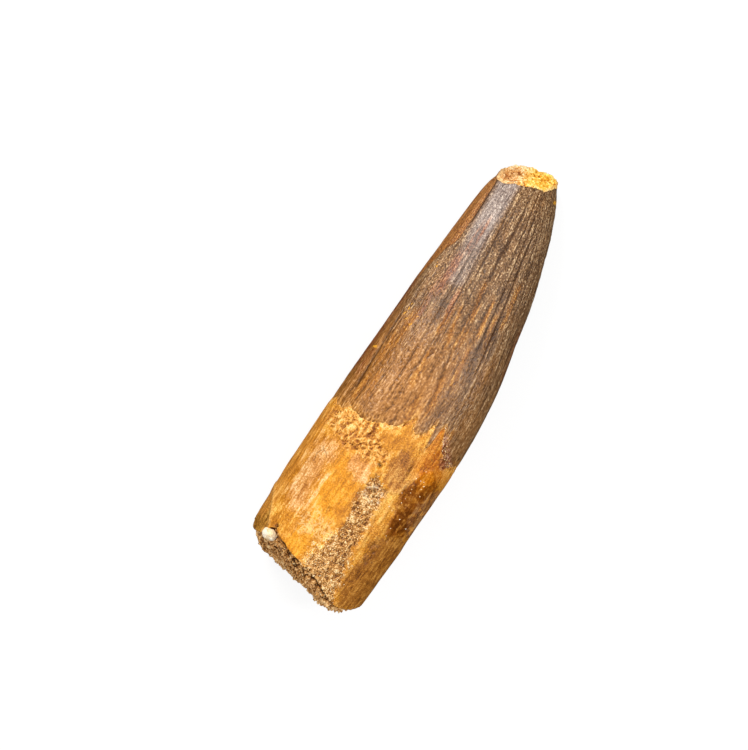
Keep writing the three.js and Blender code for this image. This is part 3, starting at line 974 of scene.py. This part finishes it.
def mesh_piece(name, vertices, faces, smooth_shaded=True):
    """A mesh object from vertices in the tooth's frame and a list of face index arrays. What would
    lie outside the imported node's box, or under the floor, is pressed flat onto it."""
    mesh = bpy.data.meshes.new(name)
    corners = np.concatenate([f.ravel() for f in faces]).astype(np.int32)
    sizes = np.concatenate([np.full(len(f), f.shape[1]) for f in faces])
    starts = (np.cumsum(sizes) - sizes).astype(np.int32)
    places = np.clip(vertices + SHIFT, BOX_LOW, BOX_HIGH)
    mesh.vertices.add(len(vertices))
    mesh.vertices.foreach_set("co", (places * MM).astype(np.float32).ravel())
    mesh.loops.add(len(corners))
    mesh.loops.foreach_set("vertex_index", corners)
    mesh.polygons.add(len(sizes))
    mesh.polygons.foreach_set("loop_start", starts)
    mesh.polygons.foreach_set("use_smooth", np.full(len(sizes), smooth_shaded))
    mesh.update(calc_edges=True)
    mesh.validate()
    piece = bpy.data.objects.new(name, mesh)
    bpy.context.scene.collection.objects.link(piece)
    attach(piece, "root")
    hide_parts("tooth")
    return piece


def ring_solid(name, rings):
    """A closed piece from rings: four-sided faces between rings, and a fan to a pole at each end."""
    rows, columns, _ = rings.shape
    index = np.arange(rows * columns).reshape(rows, columns)
    after = np.roll(index, -1, 1)
    quads = np.stack([index[:-1], after[:-1], after[1:], index[1:]], -1).reshape(-1, 4)
    first, last = rows * columns, rows * columns + 1
    first_fan = np.stack([np.full(columns, first), after[0], index[0]], -1)
    last_fan = np.stack([np.full(columns, last), index[-1], after[-1]], -1)
    poles = [rings[0].mean(0), rings[-1].mean(0)]
    vertices = np.concatenate([rings.reshape(-1, 3), poles])
    return mesh_piece(name, vertices, [quads, first_fan, last_fan])


def add_attributes(piece, fields, vector_field=None):
    """Stores named numbers, and the grain's place in metres, on the piece's points. The two poles
    take their ring's mean."""
    for name, field in fields.items():
        values = np.concatenate([field.ravel(), [field[0].mean(), field[-1].mean()]])
        layer = piece.data.attributes.new(name, "FLOAT", "POINT")
        layer.data.foreach_set("value", values.astype(np.float32))
    if vector_field is not None:
        ends = [vector_field[0].mean(0), vector_field[-1].mean(0)]
        values = np.concatenate([vector_field.reshape(-1, 3), ends]) * MM
        layer = piece.data.attributes.new("grain", "FLOAT_VECTOR", "POINT")
        layer.data.foreach_set("vector", values.astype(np.float32).ravel())


GOLD = (1 + 5**0.5) / 2
# An icosahedron: twelve corners, and twenty faces that point out.
GRAIN_CORNERS = np.array([(-1, GOLD, 0), (1, GOLD, 0), (-1, -GOLD, 0), (1, -GOLD, 0), (0, -1, GOLD),
                          (0, 1, GOLD), (0, -1, -GOLD), (0, 1, -GOLD), (GOLD, 0, -1), (GOLD, 0, 1),
                          (-GOLD, 0, -1), (-GOLD, 0, 1)]) / math.hypot(1, GOLD)
GRAIN_FACES = np.array([(0, 11, 5), (0, 5, 1), (0, 1, 7), (0, 7, 10), (0, 10, 11), (1, 5, 9), (5, 11, 4),
                        (11, 10, 2), (10, 7, 6), (7, 1, 8), (3, 9, 4), (3, 4, 2), (3, 2, 6), (3, 6, 8),
                        (3, 8, 9), (4, 9, 5), (2, 4, 11), (6, 2, 10), (8, 6, 7), (9, 8, 1)])


# How far a grain is squeezed along its own axes, and how far each of its corners is moved in or out,
# both least and most.
GRAIN_SQUEEZE = (0.6, 1.3)
GRAIN_PUSH = (0.75, 1.2)


def scattered_grains(name, places, radii, tints, draws):
    """One mesh of sand grains: an icosahedron at each place, each of its corners pushed in or out,
    and each grain squeezed on its own three axes and turned at random."""
    count = len(places)
    corner_count = len(GRAIN_CORNERS)
    squeeze = draws.uniform(*GRAIN_SQUEEZE, (count, 1, 3))
    push = draws.uniform(*GRAIN_PUSH, (count, corner_count, 1))
    turn = draws.normal(size=(count, 3, 3))
    turn, _ = np.linalg.qr(turn)
    turn[np.linalg.det(turn) < 0] *= -1
    corners = (GRAIN_CORNERS * squeeze * push) @ turn
    vertices = places[:, None] + corners * radii[:, None, None]
    faces = GRAIN_FACES[None] + corner_count * np.arange(count)[:, None, None]
    piece = mesh_piece(name, vertices.reshape(-1, 3), [faces.reshape(-1, 3)], False)
    layer = piece.data.attributes.new("tint", "FLOAT", "POINT")
    layer.data.foreach_set("value", np.repeat(tints, corner_count).astype(np.float32))
    return piece


# Materials

def colour(text):
    """An sRGB hex colour as linear red, green, blue and alpha."""
    parts = [int(text[k:k + 2], 16) / 255 for k in (1, 3, 5)]
    linear = [p / 12.92 if p <= 0.04045 else ((p + 0.055) / 1.055) ** 2.4 for p in parts]
    return (*linear, 1.0)


def add(tree, kind, inputs, output=0, **settings):
    """Adds one node with its settings, gives each named input a value or another node's output, and
    returns the wanted output. A "stops" setting fills a colour ramp."""
    node = tree.nodes.new(kind)
    stops = settings.pop("stops", ())
    for key, value in settings.items():
        setattr(node, key, value)
    for key, value in inputs.items():
        if isinstance(value, bpy.types.NodeSocket):
            tree.links.new(value, node.inputs[key])
        else:
            node.inputs[key].default_value = value
    for i, (place, shade) in enumerate(stops):
        element = node.color_ramp.elements[i] if i < 2 else node.color_ramp.elements.new(place)
        element.position = place
        element.color = colour(shade)
    return node.outputs[output] if node.outputs else None


# Places of the Mix node's sockets: its factor, its two colours and their result, and its two numbers.
FACTOR, MIX_A, MIX_B, MIX_COLOUR = 0, 6, 7, 2
NUMBER_A, NUMBER_B = 2, 3

# Places of the colours along a tone, for a ramp of three and for one of four.
STAIN_TONES = (0.2, 0.5, 0.8)
ENAMEL_TONES = (0.15, 0.42, 0.6, 0.85)
PATTERN_ROUGHNESS = 0.6
QUARTZ_IOR = 1.54


def new_material(name):
    """An empty node material and its tree."""
    material = bpy.data.materials.new(name)
    material.use_nodes = True
    material.node_tree.nodes.clear()
    return material, material.node_tree


def finished(material, sockets):
    """The material, with a surface that takes these values and outputs."""
    tree = material.node_tree
    skin = add(tree, "ShaderNodeBsdfPrincipled", sockets)
    add(tree, "ShaderNodeOutputMaterial", {"Surface": skin})
    return material


def pattern(tree, place, size_mm, stretch=1.0, detail=2.0, seed=0.0):
    """A noise from 0 to 1 on a place: lumps of this size in millimetres, and stretch times as long
    along the tooth."""
    scale = 1 / (size_mm * MM)
    scaled = add(tree, "ShaderNodeMapping", {"Vector": place, "Location": (seed, seed, seed),
                                             "Scale": (scale, scale, scale / stretch)})
    return add(tree, "ShaderNodeTexNoise", {"Vector": scaled, "Scale": 1.0, "Detail": detail,
                                            "Roughness": PATTERN_ROUGHNESS})


def crests(tree, noise, width):
    """Branching lines: 1 where a noise passes its middle, falling to 0 where it is width away."""
    off = add(tree, "ShaderNodeMath", {0: noise, 1: 0.5}, operation="SUBTRACT")
    off = add(tree, "ShaderNodeMath", {0: off}, operation="ABSOLUTE")
    return add(tree, "ShaderNodeMapRange", {"Value": off, "From Max": width, "To Min": 1.0,
                                            "To Max": 0.0})


def summed(tree, parts, start=0.0):
    """A start plus fields times their weights."""
    total = start
    for field, weight in parts:
        total = add(tree, "ShaderNodeMath", {0: field, 1: weight, 2: total}, operation="MULTIPLY_ADD")
    return total


def toned(tree, parts, push=()):
    """Noises about their middles, each times its weight, around a tone of 0.5, with pushes added."""
    start = 0.5 - 0.5 * sum(weight for _, weight in parts)
    return summed(tree, list(parts) + list(push), start)


def layered(tree, below, layers):
    """Lays shades over what is below, in order. Each is (share, shade)."""
    for share, shade in layers:
        below = add(tree, "ShaderNodeMix", {FACTOR: share, MIX_A: below, MIX_B: shade}, MIX_COLOUR,
                    data_type="RGBA")
    return below


def painted(tree, below, shade, field, wobble=None, wobble_mm=0.0, soft_mm=0.15, strength=1.0):
    """Lays a shade over what is below, where a stored field is above zero. A noise moves the edge
    by up to this many millimetres. Returns the result and the shade's share."""
    stored = add(tree, "ShaderNodeAttribute", {}, "Fac", attribute_name=field)
    if wobble:
        stored = summed(tree, [(wobble, 4 * wobble_mm), (stored, 1.0)], -2 * wobble_mm)
    share = add(tree, "ShaderNodeMapRange", {"Value": stored, "From Min": -soft_mm,
                                             "From Max": soft_mm, "To Max": strength},
                interpolation_type="SMOOTHSTEP")
    return layered(tree, below, [(share, shade)]), share


def stained(tree, shade, tone, stains):
    """Lays stains over a shade, in order. Each is (field, noise, wobble in mm, softness in mm,
    strength, and its dark, middle and light colours along the tone)."""
    for field, noise, wobble_mm, soft_mm, strength, colours in stains:
        stain = add(tree, "ShaderNodeValToRGB", {"Fac": tone}, "Color",
                    stops=list(zip(STAIN_TONES, colours)))
        shade, _ = painted(tree, shade, stain, field, noise, wobble_mm, soft_mm, strength)
    return shade


def enamel():
    """Fossil tooth enamel: a thin glassy skin that grew in lengthwise ribs and fine branching
    wrinkles, and was stained brown by iron in the ground. The wrinkles catch the light as small
    glints. Painted shade darkens the furrows, the groove and the facet's shadow line, a painted
    highlight lightens the wrinkles' crests a little, and a grey painted sheen lies on the
    polished strip."""
    material, tree = new_material("fossil_enamel")
    grain = add(tree, "ShaderNodeAttribute", {}, "Vector", attribute_name="grain")
    place = add(tree, "ShaderNodeTexCoord", {}, "Object")
    rough, furrow, groove, warmth, polish_and_sheen, facet, fleck = [
        add(tree, "ShaderNodeAttribute", {}, "Fac", attribute_name=name)
        for name in ("rough", "furrow", "groove", "warmth", "polish_and_sheen", "facet", "fleck")]
    wrinkles = crests(tree, pattern(tree, grain, 0.5, 2.5, 1, 5.0), 0.14)
    striae = pattern(tree, grain, 0.4, 14, 2, 3.0)
    streaks = pattern(tree, grain, 1.0, 12, 2, 9.0)
    dashes = pattern(tree, grain, 0.22, 3, 0)
    specks = pattern(tree, grain, 0.21, 1.4, 0, 8.0)
    dashes = summed(tree, [(dashes, 0.5), (specks, 0.35)], 0.075)
    lively = add(tree, "ShaderNodeMix", {FACTOR: rough, NUMBER_A: dashes, NUMBER_B: specks})
    blotches = pattern(tree, grain, 1.3, 4, 3, 6.0)
    clouds = pattern(tree, place, 3.0, 1, 3)

    # The furrows push the tone down, a painted shade in them, and the wrinkles' crests push it up a little,
    # a painted highlight.
    tone = toned(tree, [(wrinkles, 0.15), (striae, 0.8), (lively, 1.15), (blotches, 0.35)],
                 [(furrow, -0.4)])
    # The grey ramp is a painted sheen, laid on the polished strip.
    cool, warm, painted_sheen = [
        add(tree, "ShaderNodeValToRGB", {"Fac": tone}, "Color", stops=list(zip(ENAMEL_TONES, shades)))
        for shades in (("#4a3018", "#785636", "#94704a", "#d4b48a"),
                       ("#6e420e", "#9e672a", "#b87e40", "#e2ae76"),
                       ("#5c4c44", "#85726a", "#a08c80", "#d6c8bc"))]
    warmth = summed(tree, [(clouds, 0.8), (streaks, 1.2), (warmth, 1.0)], -1.0)
    shade = layered(tree, cool, [(warmth, warm), (polish_and_sheen, painted_sheen)])
    shade = stained(tree, shade, tone, [
        ("edge_stain", clouds, 1.2, 0.7, 0.75, ("#7c4a14", "#bf8238", "#eab876")),
        ("ochre", striae, 0.6, 0.4, 0.8, ("#764206", "#b47020", "#e2a850")),
        ("russet", striae, 0.6, 0.5, 0.8, ("#481c08", "#80401c", "#c08458")),
        ("belt", specks, 0.3, 0.4, 0.85, ("#4c1c08", "#884a28", "#e8b898")),
    ])
    worn = add(tree, "ShaderNodeValToRGB", {"Fac": tone}, "Color",
               stops=list(zip(STAIN_TONES, ("#70401a", "#a5682f", "#d49a58"))))
    fleck = summed(tree, [(fleck, 1.0), (specks, 1.6)], -0.8)
    fleck = add(tree, "ShaderNodeMapRange", {"Value": fleck, "From Min": 0.55, "From Max": 0.8})
    # Painted shade: the groove, the facet's shadow line and the furrows are darkened towards a dark brown.
    hollow = summed(tree, [(groove, 0.8), (furrow, 0.6)])
    shade = layered(tree, shade, [(facet, worn), (fleck, colour("#e8a52c")),
                                  (hollow, colour("#40240f"))])

    relief = summed(tree, [(wrinkles, 0.3), (striae, 0.6), (lively, 1.2)])
    strength = summed(tree, [(polish_and_sheen, -0.5)], 1.0)
    normal = add(tree, "ShaderNodeBump", {"Height": relief, "Distance": 0.09 * MM,
                                          "Strength": strength})
    gloss = toned(tree, [(clouds, 0.12), (specks, 0.2)], [(rough, 0.06), (polish_and_sheen, -0.08)])
    gloss = summed(tree, [(gloss, 1.0)], -0.1)
    sheen = summed(tree, [(hollow, -0.3)], 0.35)
    return finished(material, {"Base Color": shade, "Roughness": gloss, "IOR": 1.6,
                               "Specular IOR Level": sheen, "Normal": normal})


def tip_dentine():
    """Crumbling fossil dentine in the broken tip: soft chalky crumbs, yellow from iron on the bulging
    side and tan on the hollow side. Painted shade darkens the hollows and pits towards brown,
    and lightens the lumps."""
    material, tree = new_material("crumbling_dentine")
    place = add(tree, "ShaderNodeTexCoord", {}, "Object")
    crumbs = pattern(tree, place, 0.7, 1, 3, 5.0)
    grit = pattern(tree, place, 0.28, 1, 1, 2.0)
    relief, side, edge, pit_shade = [add(tree, "ShaderNodeAttribute", {}, "Fac", attribute_name=name)
                               for name in ("relief", "side", "edge", "pit_shade")]
    # The relief lightens the lumps and the pits darken the hollows: a painted shade.
    tone = toned(tree, [(crumbs, 1.0), (grit, 1.4)], [(relief, 0.3), (pit_shade, -0.4)])
    tan = add(tree, "ShaderNodeValToRGB", {"Fac": tone}, "Color",
              stops=[(0.1, "#7a3a12"), (0.36, "#bc7c3c"), (0.58, "#dca05c"), (0.85, "#fae0b0")])
    yellow = add(tree, "ShaderNodeValToRGB", {"Fac": tone}, "Color",
                 stops=[(0.08, "#b05c04"), (0.34, "#e09c1e"), (0.58, "#f2bc44"), (0.85, "#ffe68c")])
    edge = add(tree, "ShaderNodeMath", {0: edge, 1: crumbs}, operation="MULTIPLY")
    shade = layered(tree, tan, [(side, yellow), (edge, colour("#e8c890"))])
    height = summed(tree, [(crumbs, 1.0), (grit, 0.7)])
    normal = add(tree, "ShaderNodeBump", {"Height": height, "Distance": 0.12 * MM})
    return finished(material, {"Base Color": shade, "Roughness": 0.6, "IOR": 1.5,
                               "Specular IOR Level": 0.3, "Normal": normal})


def root_dentine():
    """Fossil root dentine and cement: faintly fibrous, ochre from iron, with glassy honey-coloured
    plates, a porous crust under the enamel, and a band that sand is cemented to."""
    material, tree = new_material("fossil_dentine")
    grain = add(tree, "ShaderNodeAttribute", {}, "Vector", attribute_name="grain")
    place = add(tree, "ShaderNodeTexCoord", {}, "Object")
    relief, glassy, ridge, nest, pit_shade = [
        add(tree, "ShaderNodeAttribute", {}, "Fac", attribute_name=name)
        for name in ("relief", "amber", "ridge", "nest", "pit_shade")]
    fibres = pattern(tree, grain, 0.4, 9, 3)
    clouds = pattern(tree, place, 2.2, 1, 4)
    mottle = pattern(tree, place, 0.75, 1, 2, 2.0)
    specks = pattern(tree, place, 0.22, 1, 0, 7.0)
    # The relief pushes the tones, lighter on crests and darker in pores and hollows: a painted shade.
    tone = toned(tree, [(fibres, 0.8), (clouds, 0.9), (mottle, 0.4), (specks, 0.5)], [(relief, 0.2)])
    strip_tone = toned(tree, [(fibres, 1.3), (clouds, 0.4), (specks, 0.4)])
    sand_tone = toned(tree, [(mottle, 0.4), (specks, 1.1)], [(relief, 0.4)])

    shade = add(tree, "ShaderNodeValToRGB", {"Fac": tone}, "Color",
                stops=list(zip(STAIN_TONES, ("#a05e08", "#d68c1e", "#f8c662"))))
    shade = stained(tree, shade, tone, [
        ("golden", fibres, 1.2, 0.8, 1.0, ("#b06802", "#da8c0c", "#f6b438")),
        ("pale", fibres, 1.6, 0.9, 0.85, ("#9c5c20", "#d4944e", "#fde0b0")),
        ("tan", clouds, 1.0, 0.5, 0.8, ("#a66428", "#dc9850", "#fddcab")),
        ("olive", mottle, 0.25, 0.15, 1.0, ("#583402", "#8e5c12", "#c08c34")),
        ("brown", mottle, 1.2, 1.0, 0.9, ("#643408", "#a46420", "#dca254")),
        ("low_amber", clouds, 1.8, 0.8, 0.9, ("#683808", "#985a12", "#c4822c")),
        ("crust", mottle, 0.8, 0.4, 1.0, ("#8a4a08", "#e09a38", "#fedc90")),
        ("amber", mottle, 0.4, 0.3, 1.0, ("#562a02", "#7c4006", "#985410")),
        ("dark_amber", clouds, 0.8, 0.6, 0.75, ("#3c1a02", "#5e2e04", "#84460e")),
        ("mauve", clouds, 0.8, 0.5, 0.9, ("#4e2c16", "#8e5a32", "#c4945c")),
        ("orange", clouds, 1.2, 0.9, 1.0, ("#984802", "#c67004", "#f09c2a")),
        ("red_flake", mottle, 0.3, 0.2, 1.0, ("#54200a", "#8a441c", "#d0906a")),
        ("chips", mottle, 0.3, 0.3, 0.9, ("#a85e0c", "#e0902a", "#ffc464")),
    ])
    strip = add(tree, "ShaderNodeValToRGB", {"Fac": strip_tone}, "Color",
                stops=list(zip(STAIN_TONES, ("#8a5210", "#d0862a", "#f8bc60"))))
    shade, _ = painted(tree, shade, strip, "strip", mottle, 0.6, 0.5, 0.85)
    laced = layered(tree, shade, [(crests(tree, mottle, 0.09), colour("#f5d190"))])
    shade, _ = painted(tree, shade, laced, "net", clouds, 1.2, 0.6, 0.65)
    spots = add(tree, "ShaderNodeMapRange", {"Value": mottle, "From Min": 0.52, "From Max": 0.66,
                                             "To Max": 0.75})
    spotted = layered(tree, shade, [(spots, colour("#6f3d12"))])
    shade, _ = painted(tree, shade, spotted, "speckled", clouds, 0.9, 0.5)
    glassy = add(tree, "ShaderNodeMapRange", {"Value": glassy, "From Min": -0.2, "From Max": 0.3})

    crumbs = add(tree, "ShaderNodeValToRGB", {"Fac": sand_tone}, "Color",
                 stops=list(zip(STAIN_TONES, ("#b87018", "#ecae48", "#ffdf9c"))))
    shade, _ = painted(tree, shade, crumbs, "crumbs", mottle, 0.8, 0.4)
    band = add(tree, "ShaderNodeValToRGB", {"Fac": sand_tone}, "Color",
               stops=list(zip(ENAMEL_TONES, ("#6a3c10", "#ac722e", "#cc9650", "#fadaa2"))))
    shade, sandy = painted(tree, shade, band, "sand", mottle, 0.7, 0.3)
    for noise in (mottle, specks):
        ridge = add(tree, "ShaderNodeMath", {0: ridge, 1: noise}, operation="MULTIPLY")
    curls = crests(tree, mottle, 0.1)
    nest = add(tree, "ShaderNodeMath", {0: nest, 1: curls}, operation="MULTIPLY")
    # Painted shade: the pits and creases are darkened towards a near-black brown.
    pit_shade = add(tree, "ShaderNodeMath", {0: pit_shade, 1: 0.85}, operation="MULTIPLY", use_clamp=True)
    shade = layered(tree, shade, [(ridge, colour("#ffcf7a")), (nest, colour("#f4dcb4")),
                                  (pit_shade, colour("#33200f"))])

    height = summed(tree, [(fibres, 0.5), (mottle, 0.4), (specks, 0.6)])
    strength = summed(tree, [(glassy, -0.5)], 1.0)
    normal = add(tree, "ShaderNodeBump", {"Height": height, "Distance": 0.12 * MM,
                                          "Strength": strength})
    gloss = toned(tree, [(clouds, 0.3)], [(sandy, 0.15), (glassy, -0.2)])
    sheen = summed(tree, [(glassy, -0.15)], 0.3)
    return finished(material, {"Base Color": shade, "Roughness": gloss, "IOR": 1.55,
                               "Specular IOR Level": sheen, "Normal": normal})


def sand_matrix():
    """Desert sand cemented by iron in the root's broken end: brown lumps, with painted shade that
    lightens their crowns and darkens the gaps and the strip sunk under the upper rim."""
    material, tree = new_material("sand_matrix")
    place = add(tree, "ShaderNodeTexCoord", {}, "Object")
    relief = add(tree, "ShaderNodeAttribute", {}, "Fac", attribute_name="relief")
    lumps = pattern(tree, place, 0.9, 1, 3)
    grit = pattern(tree, place, 0.27, 1, 1, 3.0)
    # The relief lightens the lumps and darkens the gaps and the strip under the rim: a painted shade.
    tone = toned(tree, [(lumps, 1.2), (grit, 1.6)], [(relief, 0.5)])
    shade = add(tree, "ShaderNodeValToRGB", {"Fac": tone}, "Color",
                stops=list(zip(ENAMEL_TONES, ("#4e2a08", "#b27434", "#dea25e", "#f8cf94"))))
    height = summed(tree, [(lumps, 0.6), (grit, 1.0)])
    normal = add(tree, "ShaderNodeBump", {"Height": height, "Distance": 0.14 * MM})
    return finished(material, {"Base Color": shade, "Roughness": 0.75, "IOR": QUARTZ_IOR,
                               "Specular IOR Level": 0.15, "Normal": normal})


def sand():
    """Iron-coated desert sand: angular quartz grains, most of them brown or ochre, a few clean and
    pale. The tint runs from dark (0) to pale (1)."""
    material, tree = new_material("cemented_sand")
    tint = add(tree, "ShaderNodeAttribute", {}, "Fac", attribute_name="tint")
    place = add(tree, "ShaderNodeTexCoord", {}, "Object")
    coat = pattern(tree, place, 0.3, 1, 2)
    tone = toned(tree, [(coat, 0.6)], [(tint, 1.0)])
    tone = summed(tree, [(tone, 1.0)], -0.5)
    shade = add(tree, "ShaderNodeValToRGB", {"Fac": tone}, "Color",
                stops=[(0.0, "#6f441a"), (0.3, "#ad7536"), (0.62, "#dba55c"), (0.85, "#f2cf94"),
                       (0.97, "#fff3d8")])
    return finished(material, {"Base Color": shade, "Roughness": 0.45, "IOR": QUARTZ_IOR})


def quartz():
    """A water-worn milky quartz pebble, stained tan where the sand holds it."""
    material, tree = new_material("milky_quartz")
    place = add(tree, "ShaderNodeTexCoord", {}, "Object")
    stain = pattern(tree, place, 1.2, 1, 3)
    shade = add(tree, "ShaderNodeValToRGB", {"Fac": stain}, "Color",
                stops=[(0.34, "#d4a062"), (0.46, "#f4d8aa"), (0.6, "#fdf0d8")])
    normal = add(tree, "ShaderNodeBump", {"Height": stain, "Distance": 0.1 * MM, "Strength": 0.5})
    return finished(material, {"Base Color": shade, "Roughness": 0.35, "IOR": QUARTZ_IOR,
                               "Normal": normal})


def light_cove():
    """White studio acrylic, lit from behind: even and nearly shadowless."""
    material, _ = new_material("light_cove")
    return finished(material, {"Base Color": colour("#707070"), "Roughness": 0.9,
                               "Specular IOR Level": 0.0, "Emission Color": colour("#ffffff"),
                               "Emission Strength": 0.86})


# Camera, cove and light: lengths are in metres

def to_row(point):
    """A point of the tooth's frame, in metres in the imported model's frame."""
    return (np.array(point, float) + SHIFT) * MM


def make_camera():
    """A long lens straight over the tooth, turned so that the tooth leans as it does in the photo."""
    data = bpy.data.cameras.new("camera")
    data.lens = LENS
    data.sensor_width = SENSOR
    data.clip_start = 0.01
    camera = bpy.data.objects.new("camera", data)
    bpy.context.scene.collection.objects.link(camera)
    at = to_row((*VIEW_CENTRE, VIEW_HEIGHT + CAMERA_DISTANCE))
    turn = np.array([(*PICTURE_RIGHT, 0), (*PICTURE_UP, 0), (0, 0, 1)]).T
    matrix = np.eye(4)
    matrix[:3, :3] = turn
    matrix[:3, 3] = at
    camera.matrix_world = matrix.T.tolist()
    bpy.context.scene.camera = camera


def soft_light(name, direction, distance, size, watts, shade):
    """A square soft box at a distance in a direction from the tooth, aimed at it."""
    data = bpy.data.lights.new(name, "AREA")
    data.shape = "SQUARE"
    data.size = size
    data.energy = watts
    data.color = colour(shade)[:3]
    light = bpy.data.objects.new(name, data)
    light.visible_camera = False
    bpy.context.scene.collection.objects.link(light)
    out = np.array(direction, float) / np.linalg.norm(direction)
    side = np.cross((0, 0, 1), out)
    side /= np.linalg.norm(side)
    matrix = np.eye(4)
    matrix[:3, :3] = np.array([side, np.cross(out, side), out]).T
    matrix[:3, 3] = out * distance
    light.matrix_world = matrix.T.tolist()


COVE_AROUND = 96
COVE_STEPS = 24
COVE_FLOOR_RADIUS = 1.6
COVE_BEND_RADIUS = 1.2
COVE_WALL_HEIGHT = 3.0
COVE_FIRST_RADIUS = 0.1


def make_cove():
    """A plain pale floor at the height of the tooth's lowest point, that curves up into a round
    wall: a flat line, a quarter circle and an upright line, carried round the tooth."""
    bend = np.linspace(0, np.pi / 2, COVE_STEPS)
    radii = COVE_FLOOR_RADIUS + COVE_BEND_RADIUS * np.sin(bend)
    heights = COVE_BEND_RADIUS * (1 - np.cos(bend))
    radii = np.concatenate([[COVE_FIRST_RADIUS], radii, radii[-1:]])
    heights = np.concatenate([[0.0], heights, [COVE_WALL_HEIGHT]])
    turn = np.linspace(0, 2 * np.pi, COVE_AROUND, endpoint=False)
    rings = np.stack([radii[:, None] * np.cos(turn), radii[:, None] * np.sin(turn),
                      np.broadcast_to(heights[:, None], (len(radii), COVE_AROUND))], -1)
    index = np.arange(len(radii) * COVE_AROUND).reshape(len(radii), COVE_AROUND)
    after = np.roll(index, -1, 1)
    quads = np.stack([index[:-1], index[1:], after[1:], after[:-1]], -1).reshape(-1, 4)
    mesh = bpy.data.meshes.new("cove")
    mesh.from_pydata(rings.reshape(-1, 3).tolist(), [], quads.tolist() + [index[0].tolist()])
    mesh.materials.append(light_cove())
    cove = bpy.data.objects.new("cove", mesh)
    bpy.context.scene.collection.objects.link(cove)
    # The cove is seen by the camera alone, so it throws no light onto the tooth's sides.
    cove.visible_diffuse = False
    cove.visible_glossy = False
    cove.visible_shadow = False


def make_world():
    """An even pale surround, which isn't mirrored in the tooth."""
    world = bpy.data.worlds.new("surround")
    world.use_nodes = True
    back = world.node_tree.nodes["Background"]
    back.inputs["Color"].default_value = colour("#ffffff")
    back.inputs["Strength"].default_value = SURROUND_STRENGTH
    world.cycles_visibility.glossy = False
    bpy.context.scene.world = world


SURROUND_STRENGTH = 0.36
# Each soft box: its direction from the tooth, distance, size, watts and colour.
SOFT_BOXES = {
    "key_light": ((0.48, 0.64, 0.6), 0.5, 0.2, 2.1, "#fff9f0"),
    "top_light": ((-0.05, -0.15, 1.0), 0.8, 0.5, 1.6, "#ffffff"),
    "spark_light": ((0.35, -0.6, 0.7), 0.5, 0.12, 0.9, "#ffffff"),
    "root_light": ((-0.85, 0.1, 0.5), 0.5, 0.2, 0.5, "#ffffff"),
}

make_camera()
make_cove()
make_world()
for light_name, soft_box in SOFT_BOXES.items():
    soft_light(light_name, *soft_box)
bpy.context.scene.view_settings.view_transform = "Standard"


# The tooth's pieces

crown_rings, crown_fields, crown_grain, crown_side, splinter_field = crown_surface()
crown = ring_solid("crown", crown_rings)
add_attributes(crown, crown_fields, crown_grain)
crown.data.materials.append(enamel())

tip_rings, tip_fields = tip_surface(crown_side[-1])
tip_core = ring_solid("tip_core", tip_rings)
add_attributes(tip_core, tip_fields)
tip_core.data.materials.append(tip_dentine())

root_rings, root_fields, root_grain, root_side, root_marks = root_surface()
root = ring_solid("root", root_rings)
add_attributes(root, root_fields, root_grain)
root.data.materials.append(root_dentine())

matrix_rings, matrix_fields, matrix_face = matrix_surface(root_side[0])
matrix = ring_solid("matrix", matrix_rings)
add_attributes(matrix, matrix_fields)
matrix.data.materials.append(sand_matrix())

pebble = ring_solid("pebble", pebble_surface())
pebble.data.materials.append(quartz())

# Each kind of sand grain: how many, how far they sink into the side as a share of their radius, and
# the least and most of their radius and tint.
BAND_GRAINS = {"count": 1200, "sunk": 0.5, "radius": (0.07, 0.22), "tint": (0.15, 0.9)}
CRUMB_GRAINS = {"count": 400, "sunk": 0.4, "radius": (0.08, 0.2), "tint": (0.5, 0.9)}
SPLINTER_GRAINS = {"count": 60, "sunk": 0.0, "radius": (0.07, 0.14), "tint": (0.5, 0.85)}
MATRIX_GRAINS = {"count": 1400, "sunk": 0.0, "radius": (0.1, 0.28), "tint": (0, 0.85)}
# The matrix's grains sink along x, and its outermost rows are bare.
MATRIX_GRAINS_SUNK = 0.5
MATRIX_BARE_ROWS = 2
DOT_TINT = 0.9
GRAIN_SMALLNESS = 2.0
GRAIN_SEED = 7


def drawn_grains(draws, kind, surface, chance):
    """Places, radii and tints for one kind of grain, on a grid surface whose points are each as
    likely as their chance says. A radius is an even share to a power, so most grains are small, and
    a grain is moved in along the surface's normal."""
    least, most = kind["radius"]
    radii = least + (most - least) * draws.uniform(0, 1, kind["count"]) ** GRAIN_SMALLNESS
    weight = chance.ravel() / chance.sum()
    picked = draws.choice(weight.size, kind["count"], replace=False, p=weight)
    places = surface.reshape(-1, 3)[picked]
    out = outward(surface).reshape(-1, 3)[picked]
    tints = draws.uniform(*kind["tint"], kind["count"])
    return places - out * kind["sunk"] * radii[:, None], radii, tints


draws = np.random.default_rng(GRAIN_SEED)
on_band = drawn_grains(draws, BAND_GRAINS, root_side, smooth(-0.8, 0.5, root_marks["sand"]))
on_crumbs = drawn_grains(draws, CRUMB_GRAINS, root_side, smooth(-0.4, 0.6, root_marks["crumbs"]))
on_splinters = drawn_grains(draws, SPLINTER_GRAINS, crown_side, splinter_field**2)

dot_index = [np.argmin(np.hypot(root_marks["along"] - a, root_marks["across"] - b))
             for a, b, _ in PALE_DOTS]
dot_radii = np.array([radius for _, _, radius in PALE_DOTS])
dots = (root_side.reshape(-1, 3)[dot_index], dot_radii, np.full(len(dot_radii), DOT_TINT))

kinds = zip(on_band, on_crumbs, dots, on_splinters)
band = scattered_grains("band_grains", *[np.concatenate(parts) for parts in kinds], draws)
band.data.materials.append(sand())

chance = np.linspace(1, 0, len(matrix_face))[:, None] * np.ones(ROOT_AROUND)
chance[:MATRIX_BARE_ROWS] = 0
places, radii, tints = drawn_grains(draws, MATRIX_GRAINS, matrix_face, chance)
places[:, 0] += MATRIX_GRAINS_SUNK * radii
loose = scattered_grains("matrix_grains", places, radii, tints, draws)
loose.data.materials.append(sand())
